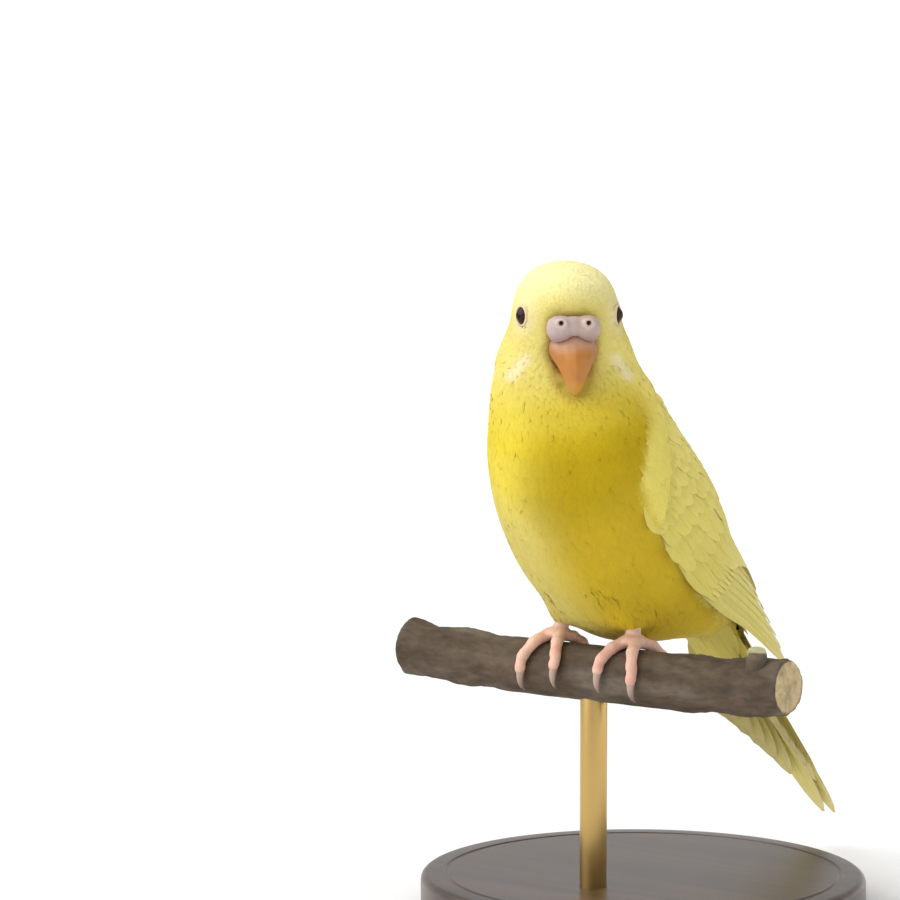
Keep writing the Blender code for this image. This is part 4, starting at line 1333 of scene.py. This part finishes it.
class BUDGERIGAR_OT_eyes(bpy.types.Operator):
    """Builds both eyes and their beaded lids"""

    bl_idname = "budgerigar.eyes"
    bl_label = "Eyes"

    def execute(self, context):
        look = context.scene.budgerigar_bare
        glass, bare = eye_material(), lid_material()
        for side, name in ((1, "left"), (-1, "right")):
            out = (LEFT * side * EYE_AIM[0] + FORWARD * EYE_AIM[1]).normalized()
            place = on_head((side * EYE_SIDE, EYE_FORWARD, 0.0), out)
            bm = bmesh.new()
            bmesh.ops.create_uvsphere(bm, u_segments=48, v_segments=36, radius=EYE_RADIUS * MM)
            far = np.full(len(bm.verts), 9.0)
            for i, vert in enumerate(bm.verts):
                if vert.co.z > 0:
                    far[i] = math.hypot(vert.co.x, vert.co.y) / MM
                    vert.co.z += 0.18 * MM * bell(far[i], 1.2)
            bm.transform(place)
            mesh = mesh_from_bmesh(bm)
            iris = np.array(look.iris)
            tint = mix(colour("#050302"), iris, ramp(far, 0.75, 0.95))
            paint(mesh, mix(tint, iris * 0.35, ramp(far, 1.45, 1.8)))
            finish_piece("eyeball_" + name, mesh, glass, "eye", "eye_" + name)
            bm = spun(profile_bmesh([(radius * MM, level * MM) for radius, level in LID_PROFILE], loop=True), 96)
            bm.normal_update()
            for vert in bm.verts:
                beads = math.cos(LID_BEADS * math.atan2(vert.co.y, vert.co.x))
                vert.co += vert.normal * (0.04 * MM * max(0.0, vert.normal.z) * beads)
            bm.transform(place)
            mesh = mesh_from_bmesh(bm)
            paint(mesh, np.array(look.lid))
            finish_piece("eyelid_" + name, mesh, bare, "cere_skin")
        return {"FINISHED"}


class BUDGERIGAR_OT_beak(bpy.types.Operator):
    """Builds the cere with its nostrils and the two halves of the beak"""

    bl_idname = "budgerigar.beak"
    bl_label = "Beak and cere"

    def execute(self, context):
        look = context.scene.budgerigar_bare
        horn = horn_material()
        beak, cere = np.array(look.beak), np.array(look.cere)
        for node, passes in (("beak_upper", 8), ("beak_lower", 5)):
            mesh = remeshed(mesh_from_bmesh(joined_copies((node,), 0.12)), 0.17)
            soften(mesh, passes)
            points = read_mesh(mesh)[0]
            side, forward, height = head_place(points).T
            narrow = 0.15 * bell(height + 12.0, 3.0)
            keel = 0.5 * np.maximum(0.0, 1 - np.abs(side) / 2.4) * ramp(-height, 4.0, 7.0) * (node == "beak_upper")
            points = points - np.outer(side * narrow, LEFT) + np.outer(keel * ramp(forward, 12.0, 14.0), FORWARD)
            write_points(mesh, points)
            tint = mix(beak, look.beak_tip, ramp(-height, 12.6, 16.4))
            # Painted shade: the beak darker towards its sides, where it sinks between the cheek feathers.
            tint = mix(tint, beak * (0.72, 0.62, 0.45), ramp(np.abs(side), 2.2, 5.0) * 0.75)
            tint = mix(tint, cere * (0.94, 0.76, 0.6), (1 - ramp(-height, 4.8, 8.2)) * 0.75)
            # Painted shade on the bird's left half of the lower beak, the side away from the light.
            tint = mix(tint, tint * (0.97, 0.92, 0.55), ramp(side, -0.3, 0.9) * ramp(-height, 6.0, 9.0))
            paint(mesh, tint * (1 + 0.04 * ripple(points, 3.0, 8))[:, None])
            finish_piece(node.replace("beak", "bill"), mesh, horn, "horn", node)
        bm = joined_copies(("cere",), 0.10)
        for side in (NOSTRIL_SIDE, -NOSTRIL_SIDE):
            ring = bmesh.new()
            made = bmesh.ops.create_circle(ring, segments=16, radius=0.42 * MM)
            bmesh.ops.rotate(ring, verts=made["verts"], cent=(0, 0, 0), matrix=Matrix.Rotation(math.pi / 2, 3, "X"))
            bmesh.ops.translate(ring, verts=made["verts"], vec=(0.95 * MM, 0, 0))
            spun(ring, 32).transform(on_head((side, NOSTRIL_REACH, NOSTRIL_HEIGHT), FORWARD + LEFT * side * 0.05))
            add_mesh(bm, mesh_from_bmesh(ring))
        mesh = remeshed(mesh_from_bmesh(bm), 0.16)
        soften(mesh, 14)
        points = read_mesh(mesh)[0]
        side, forward, height = head_place(points).T
        away = np.hypot(np.abs(side) - NOSTRIL_SIDE, height - NOSTRIL_HEIGHT)
        low = np.maximum(height + 0.6, 0.0) * 0.42
        write_points(mesh, points - np.outer(side * 0.05, LEFT) - np.outer(low, UP))
        tint = mix(cere, cere * (0.72, 0.60, 0.60), ramp(-height, 2.6, 5.4))
        # Painted shade on the bird's left lobe, the side away from the light.
        tint = mix(tint, tint * (0.93, 0.91, 0.82), ramp(side, -1.0, 2.0))
        tint = mix(tint, look.nostril, bell(away - 1.0, 0.5) * 0.7)
        paint(mesh, mix(tint, colour("#4A332A"), (1 - ramp(away, 0.25, 0.6)) * ramp(forward, 11.0, 12.5)))
        finish_piece("cere_lobes", mesh, cere_material(), "cere_skin", "cere")
        return {"FINISHED"}


def toe_path(side, splay, start, end, clear):
    """Points round the perch from its top, forward for positive angles, each as far off it as told."""
    points = []
    for share, gap in zip(np.linspace(0.0, 1.0, len(clear)), clear):
        angle = math.radians(start + (end - start) * share)
        reach = PERCH_RADIUS + gap
        x = side * (FOOT_SIDE + splay[0] + (splay[1] - splay[0]) * min(1.0, share * 1.3))
        points.append(Vector((x, -reach * math.sin(angle), -PERCH_RADIUS + reach * math.cos(angle))))
    return points


class BUDGERIGAR_OT_feet(bpy.types.Operator):
    """Builds the scaled toes and their claws round the perch"""

    bl_idname = "budgerigar.feet"
    bl_label = "Feet"

    def execute(self, context):
        look = context.scene.budgerigar_bare
        skin, horn = foot_material(), claw_material()
        for side, name in ((1, "left"), (-1, "right")):
            toes, claws = [], []
            for root, splay, bend in TOES:
                sign = 1 if bend > 0 else -1
                radii = []
                for share in np.linspace(0.0, 1.0, TOE_RINGS):
                    base = TOE_RADIUS * (1.02 - 0.2 * share)
                    joints = sum(bell(share - spot, 0.07) for spot in (0.12, 0.42, 0.70, 0.93))
                    scutes = abs(math.sin(share * math.pi * 13))
                    end = 1 - max(0.0, (share - 0.9) / 0.1) ** 3 * 0.35
                    radii.append((base - 0.16 + 0.16 * joints + 0.07 * scutes) * end)
                path = toe_path(side, (root, splay), -6.0 * sign, bend, [r + 0.06 for r in radii])
                toes.append(tube_mesh(path, radii, 6))
                arc = [0.85 * (1 - (i / 15) ** 1.5) + 0.05 for i in range(16)]
                rise = [0.25 + 0.75 * math.sin(math.pi * i / 15 * 0.8) + r * 0.9 for i, r in enumerate(arc)]
                path = toe_path(side, (splay, splay), bend - 3.0 * sign, bend + 38.0 * sign, rise)
                claws.append(tube_mesh(path, arc, 4))
            bm = bmesh.new()
            bmesh.ops.create_uvsphere(bm, u_segments=24, v_segments=16, radius=MM)
            bmesh.ops.scale(bm, vec=(2.9, 3.3, 1.5), verts=bm.verts)
            bmesh.ops.translate(bm, vec=HOME + Vector((side * FOOT_SIDE, 0.4, 1.85)) * MM, verts=bm.verts)
            toes.append(mesh_from_bmesh(bm))
            shank = [Vector((side * (FOOT_SIDE - 0.22 * i), 0.5 + 0.3 * i, 1.6 + 0.9 * i)) for i in range(7)]
            toes.append(tube_mesh(shank, [1.7 + 0.06 * (i % 2) for i in range(7)], 6))
            mesh = remeshed(join_meshes(toes), 0.24)
            soften(mesh, 2)
            points = read_mesh(mesh)[0]
            tint = np.array(look.foot) * (1 + 0.05 * ripple(points, 2.2, 3))[:, None]
            pink = ramp(ripple(points, 5.0, 9), -0.2, 0.8)
            paint(mesh, mix(tint, tint * (0.98, 0.86, 0.86), pink))
            finish_piece("toes_" + name, mesh, skin, "foot_skin", "foot_" + name)
            mesh = join_meshes(claws)
            low = ramp(-read_mesh(mesh)[0][:, 2], 6.0, 12.0)
            paint(mesh, mix(look.claw, np.array(look.claw) * (0.5, 0.45, 0.42), low))
            finish_piece("claws_" + name, mesh, horn, "horn")
        return {"FINISHED"}


class BUDGERIGAR_OT_wings(bpy.types.Operator):
    """Builds both folded wings feather by feather"""

    bl_idname = "budgerigar.wings"
    bl_label = "Wings"

    def execute(self, context):
        look = context.scene.budgerigar_plumage
        body = body_tree()
        material = vane_material()
        for side, name in ((1, "left"), (-1, "right")):
            vanes = Vanes(31 + side)
            add_wing(vanes, body, side, look)
            mesh = vanes.mesh("wing")
            finish_piece("wing_feathers_" + name, mesh, material, "flight_feathers", "wing_" + name)
        return {"FINISHED"}


class BUDGERIGAR_OT_tail(bpy.types.Operator):
    """Builds the tail feathers and the coverts over and under their roots"""

    bl_idname = "budgerigar.tail"
    bl_label = "Tail"

    def execute(self, context):
        look = context.scene.budgerigar_plumage
        flight, back, pale = np.array(look.flight), np.array(look.back), np.array(look.tip)
        vanes = Vanes(77)

        def vane(side, offset, level, root, length, half, profile, tint, tip, spread=0.035, **more):
            def place(s, across, height):
                middle = side * offset * (0.55 + 0.45 * min(1.0, s * 2))
                x = middle + across
                return tail_point([root + (length - root) * s], [x], [level - spread * x * x + height])[0]

            vanes.add(place, length - root, half, profile, tint, tip, **more)

        for k in range(len(TAIL_LENGTHS) - 1, -1, -1):
            for side in (1, -1):
                offset = 1.1 if k == 0 else 3.05 + 0.75 * (k - 1)
                level = 2.4 - 0.85 * k if k else 2.9 + 0.4 * side
                length = TAIL_LENGTHS[k] - (1.2 if side < 0 else 0.0)
                vane(side, offset, level, 5.0, length, 2.9, LONG_VANE, mix(flight, back, 0.25), pale, camber=0.2)
        for rows, count, apart, tone, share, bend, camber in (
            (TAIL_COVERTS_OVER, 7, 1.75, back, 0.35, 0.07, 0.3),
            (TAIL_COVERTS_UNDER, 6, 1.9, np.array(look.vent), 0.3, -0.06, -0.3),
        ):
            for root, tip, level, half in rows:
                for spot in range(count):
                    off = spot - (count - 1) / 2
                    place = off * apart + vanes.chance.normal(0, 0.2)
                    end = tip - 0.9 * abs(off) + vanes.chance.normal(0, 0.7)
                    ending = mix(tone, pale, share)
                    vane(1, place, level, root, end, half, ROUND_VANE, tone, ending, bend, camber=camber)
        finish_piece("tail_feathers", vanes.mesh("tail"), vane_material(), "flight_feathers", "tail")
        return {"FINISHED"}


class BUDGERIGAR_OT_coat(bpy.types.Operator):
    """Covers the skin with body feathers, each a group of tufts of barbs"""

    bl_idname = "budgerigar.coat"
    bl_label = "Coat"

    def execute(self, context):
        look = context.scene.budgerigar_plumage
        chance = np.random.default_rng(12)
        points, normals, triangles = read_mesh(bpy.data.objects["skin"].data)
        tree = BVHTree.FromPolygons(points.tolist(), triangles.tolist())
        grown = feathered(points, normals)
        triangles = triangles[grown[triangles].any(1)]
        scale = 1 / math.sqrt(look.density)
        roots, out = scatter(points, triangles, normals, lambda spots: feather_spacing(spots) * scale, chance)
        field = tuft_field(roots, out, look, chance)
        names = coat_region(field["root"])
        material = down_material()
        for name in sorted(set(names)):
            short = field["length"] < SHORT_LENGTH
            for kind, fits, ending in ((SHORT_TUFT, short, "_short"), (LONG_TUFT, ~short, "_long")):
                chosen = np.flatnonzero((names == name) & fits)
                if not len(chosen):
                    continue
                pieces = math.ceil(len(chosen) * len(tuft_faces(len(kind) - 1)) / PIECE_LIMIT)
                for number, part in enumerate(np.array_split(chosen, pieces)):
                    some = {key: value[part] for key, value in field.items()}
                    piece = name + ending + (f"_{number + 1}" if pieces > 1 else "")
                    mesh = mesh_from_arrays(piece, *tuft_arrays(some, tree, kind, look))
                    piece = finish_piece(piece, mesh, material, "plumage")
                    piece.cycles.shadow_terminator_offset = 0.25
                    piece.cycles.shadow_terminator_geometry_offset = 0.3
        return {"FINISHED"}


# The branch: half the straight length that the feet grip, how far its ends bow up, the twig stub's radii
GRIP = 19.0
PERCH_BOW = 1.6
PERCH_STEPS = 230
RING_WAVES = 7.0
STUB_RADII = (3.1, 2.9, 2.75, 2.6, 2.45, 2.3, 2.25, 2.2, 2.0)


class BUDGERIGAR_OT_perch(bpy.types.Operator):
    """Builds the cut length of branch with its bark, cut ends and twig stub"""

    bl_idname = "budgerigar.perch"
    bl_label = "Perch"

    def execute(self, context):
        look = context.scene.budgerigar_bare
        low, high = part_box("perch")
        half = (high.x - low.x) / 2 / MM
        chance = random.Random(4)
        waves = [(chance.uniform(0.05, 0.16), chance.uniform(0, 6.28), k) for k in (1, 2, 3)]
        bm = bmesh.new()
        made = bmesh.ops.create_circle(bm, segments=96, radius=PERCH_RADIUS * MM)
        turn = Matrix.Rotation(math.pi / 2, 3, "Y")
        bmesh.ops.rotate(bm, verts=made["verts"], cent=(0, 0, 0), matrix=turn)
        bmesh.ops.translate(bm, verts=made["verts"], vec=(-half * MM, 0, 0))
        first = edges = list(bm.edges)
        for _ in range(PERCH_STEPS):
            grown = bmesh.ops.extrude_edge_only(bm, edges=edges)["geom"]
            verts = [item for item in grown if isinstance(item, bmesh.types.BMVert)]
            edges = [item for item in grown if isinstance(item, bmesh.types.BMEdge)]
            bmesh.ops.translate(bm, verts=verts, vec=(2 * half / PERCH_STEPS * MM, 0, 0))
        ends = bmesh.ops.holes_fill(bm, edges=first + edges, sides=0)["faces"]
        for _ in range(5):
            bmesh.ops.inset_individual(bm, faces=ends, thickness=0.9 * MM, depth=0.0)
        bmesh.ops.poke(bm, faces=ends)
        for vert in bm.verts:
            x, y, z = (value / MM for value in vert.co)
            radius = math.hypot(y, z)
            on_end = radius < PERCH_RADIUS - 0.05
            past = max(0.0, abs(x) - GRIP)
            free = min(1.0, past / 8.0)
            bow = PERCH_BOW * (past / (half - GRIP)) ** 2
            a = math.atan2(z, y)
            bump = sum(size * math.sin(k * a + phase + x * 0.21 * k) for size, phase, k in waves)
            swell = free * (bump + 0.25 * math.sin(x * 0.33))
            crack = noise.fractal(Vector((x * 0.16, y * 0.55, z * 0.55)), 0.9, 2.1, 5)
            ridge = noise.noise(Vector((x * 0.5, math.cos(a) * 3.1, math.sin(a) * 3.1)))
            bark = (0.30 * crack + 0.14 * ridge - 0.05) * (0.3 + 0.7 * free)
            rim = 0.35 if abs(x) > half - 0.3 else 0.0
            scale = (radius + (0.0 if on_end else swell + min(bark, 0.16) - rim)) / max(radius, 1e-6)
            if on_end:
                x -= math.copysign(0.12 + 0.05 * math.sin(radius * RING_WAVES), x)
            vert.co = HOME + Vector((x, y * scale, -PERCH_RADIUS + bow + z * scale)) * MM
        bmesh.ops.recalc_face_normals(bm, faces=bm.faces)
        path = [Vector((43.0 + 0.16 * i, -1.5 - 0.3 * i, -4.0 + 0.9 * i)) for i in range(len(STUB_RADII))]
        mesh = join_meshes([mesh_from_bmesh(bm), tube_mesh(path, STUB_RADII, 8)])
        points = read_mesh(mesh)[0]
        bark = np.array(look.bark)
        tint = bark * (1 + 0.16 * ripple(points, 6.0, 4, np.array((0.3, 1, 1))))[:, None]
        grey = ramp(ripple(points, 14.0, 6, np.array((0.4, 1, 1))), 0.0, 0.9)
        tint = mix(tint, colour("#7A7063"), grey * 0.6)
        middle = np.hypot(points[:, 1], points[:, 2] + PERCH_RADIUS - PERCH_BOW)
        ended = (np.abs(points[:, 0]) > half - 0.45) & (middle < 5.5)
        rings = np.outer(0.92 + 0.08 * np.sin(middle * RING_WAVES), colour("#C9B48A"))
        tint = np.where(ended[:, None], rings * mix(1.0, 0.7, ramp(1.2 - middle, 0, 1)), tint)
        stub_end = (np.linalg.norm(points - np.array(path[-1]), axis=1) < 2.3) & (points[:, 2] > 2.9)
        paint(mesh, np.where(stub_end[:, None], colour("#B7B48A"), tint))
        mesh.set_sharp_from_angle(angle=math.radians(60))
        finish_piece("branch", mesh, bark_material(), "bark", "perch")
        return {"FINISHED"}


class BUDGERIGAR_OT_stand(bpy.types.Operator):
    """Builds the brass rod and the turned wooden base"""

    bl_idname = "budgerigar.stand"
    bl_label = "Stand"

    def execute(self, context):
        look = context.scene.budgerigar_stand
        low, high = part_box("stand_rod")
        bm = bmesh.new()
        radius = (high.x - low.x) / 2
        bmesh.ops.create_cone(
            bm, cap_ends=True, segments=look.segments, radius1=radius, radius2=radius, depth=high.z - low.z,
            matrix=Matrix.Translation((low + high) / 2),
        )
        rims = [edge for edge in bm.edges if abs(edge.verts[0].co.z - edge.verts[1].co.z) < 1e-6]
        bmesh.ops.bevel(bm, geom=rims, offset=0.3 * MM, segments=2, profile=0.5, affect="EDGES", material=-1)
        mesh = mesh_from_bmesh(bm)
        mesh.set_sharp_from_angle(angle=math.radians(40))
        finish_piece("stand_brass_rod", mesh, brass_material(look), "stand_metal", "stand_rod")
        low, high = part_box("stand_base")
        wide = (high.x - low.x) / 2
        profile = [(0.0, 0.0), (wide - 0.6 * MM, 0.0), (wide, 0.6 * MM)]
        edge = 1.6 * MM
        for turn in np.linspace(0.0, math.pi / 2, 7):
            profile.append((wide - edge + edge * math.cos(turn), high.z - edge + edge * math.sin(turn)))
        groove = ((5.0, 0.0), (5.3, 0.25), (6.0, 0.25), (6.3, 0.0))
        profile += [(wide - inward * MM, high.z - deep * MM) for inward, deep in groove] + [(0.0, high.z)]
        mesh = mesh_from_bmesh(spun(profile_bmesh(profile), look.segments))
        mesh.set_sharp_from_angle(angle=math.radians(35))
        finish_piece("stand_turned_base", mesh, wood_material(look), "stand_wood", "stand_base")
        return {"FINISHED"}


# Where the photograph was taken from, and where the perch's top lies in it
VIEW_TURN = 36.0
VIEW_RISE = 6.0
VIEW_DISTANCE = 900.0
PIXELS = 900
PIXELS_PER_MM = 4.55
PERCH_PIXEL = (594, 645)
SENSOR = 36.0

# The floor's flat part and the sweep at its rim, in metres, and the soft sun's angle
FLOOR_RADIUS = 2.0
FLOOR_SWEEP = 0.6
SUN_SPREAD = 70.0


class BUDGERIGAR_OT_stage(bpy.types.Operator):
    """Sets the pale floor, the soft lights and the camera"""

    bl_idname = "budgerigar.stage"
    bl_label = "Stage"

    def execute(self, context):
        look = context.scene.budgerigar_stand
        turn, rise = math.radians(VIEW_TURN), math.radians(VIEW_RISE)
        right = Vector((math.cos(turn), math.sin(turn), 0.0))
        back = Vector((math.sin(turn) * math.cos(rise), -math.cos(turn) * math.cos(rise), math.sin(rise)))
        up = back.cross(right)
        offset = right * ((PIXELS / 2 - PERCH_PIXEL[0]) / PIXELS_PER_MM)
        offset += up * ((PERCH_PIXEL[1] - PIXELS / 2) / PIXELS_PER_MM)
        camera = new_object("camera", bpy.data.cameras.new("camera"))
        camera.data.sensor_width = SENSOR
        camera.data.lens = SENSOR * VIEW_DISTANCE * PIXELS_PER_MM / PIXELS
        camera.data.clip_start = 0.02
        camera.location = HOME + (offset + back * VIEW_DISTANCE) * MM
        camera.rotation_euler = Matrix((right, up, back)).transposed().to_euler()
        context.scene.camera = camera
        profile = [(0.0, 0.0), (FLOOR_RADIUS, 0.0)]
        for a in np.linspace(0.15, 1.45, 10):
            profile.append((FLOOR_RADIUS + FLOOR_SWEEP * math.sin(a), FLOOR_SWEEP - FLOOR_SWEEP * math.cos(a)))
        mesh = mesh_from_bmesh(spun(profile_bmesh(profile), 96))
        mesh.materials.append(new_material("matt_white_floor", Base_Color=colour("#FAFAF9"), Roughness=0.9))
        new_object("floor", mesh)
        sun = new_object("key", bpy.data.lights.new("key", "SUN"))
        sun.data.energy = look.key
        sun.data.angle = math.radians(SUN_SPREAD)
        towards = (-right * 1.1 + up * 1.0 + back * 0.35).normalized()
        sun.rotation_euler = towards.to_track_quat("Z", "Y").to_euler()
        world = bpy.data.worlds.new("studio")
        world.use_nodes = True
        sky = world.node_tree.nodes["Background"]
        sky.inputs["Color"].default_value = (1.0, 1.0, 1.0, 1.0)
        sky.inputs["Strength"].default_value = look.fill
        context.scene.world = world
        context.scene.view_settings.view_transform = "Standard"
        return {"FINISHED"}


OPERATORS = (
    BUDGERIGAR_OT_stage,
    BUDGERIGAR_OT_skin,
    BUDGERIGAR_OT_eyes,
    BUDGERIGAR_OT_beak,
    BUDGERIGAR_OT_feet,
    BUDGERIGAR_OT_wings,
    BUDGERIGAR_OT_tail,
    BUDGERIGAR_OT_coat,
    BUDGERIGAR_OT_perch,
    BUDGERIGAR_OT_stand,
)


class BUDGERIGAR_PT_panel(bpy.types.Panel):
    """Lists the pieces of the model and their settings"""

    bl_idname = "BUDGERIGAR_PT_panel"
    bl_label = "Budgerigar"
    bl_space_type = "VIEW_3D"
    bl_region_type = "UI"
    bl_category = "Budgerigar"

    def draw(self, context):
        for name in GROUPS:
            group = getattr(context.scene, name)
            box = self.layout.box()
            for key in group.__annotations__:
                box.prop(group, key)
        for operator in OPERATORS:
            self.layout.operator(operator.bl_idname)


GROUPS = {
    "budgerigar_plumage": BudgerigarPlumage,
    "budgerigar_bare": BudgerigarBare,
    "budgerigar_stand": BudgerigarStand,
}


def register():
    for cls in (*GROUPS.values(), *OPERATORS, BUDGERIGAR_PT_panel):
        bpy.utils.register_class(cls)
    for name, cls in GROUPS.items():
        setattr(bpy.types.Scene, name, PointerProperty(type=cls))


def unregister():
    for name in GROUPS:
        delattr(bpy.types.Scene, name)
    for cls in reversed((*GROUPS.values(), *OPERATORS, BUDGERIGAR_PT_panel)):
        bpy.utils.unregister_class(cls)


def main():
    register()
    for operator in OPERATORS:
        getattr(bpy.ops.budgerigar, operator.bl_idname.split(".")[1])()
    bpy.context.view_layer.update()


if __name__ == "__main__":
    main()
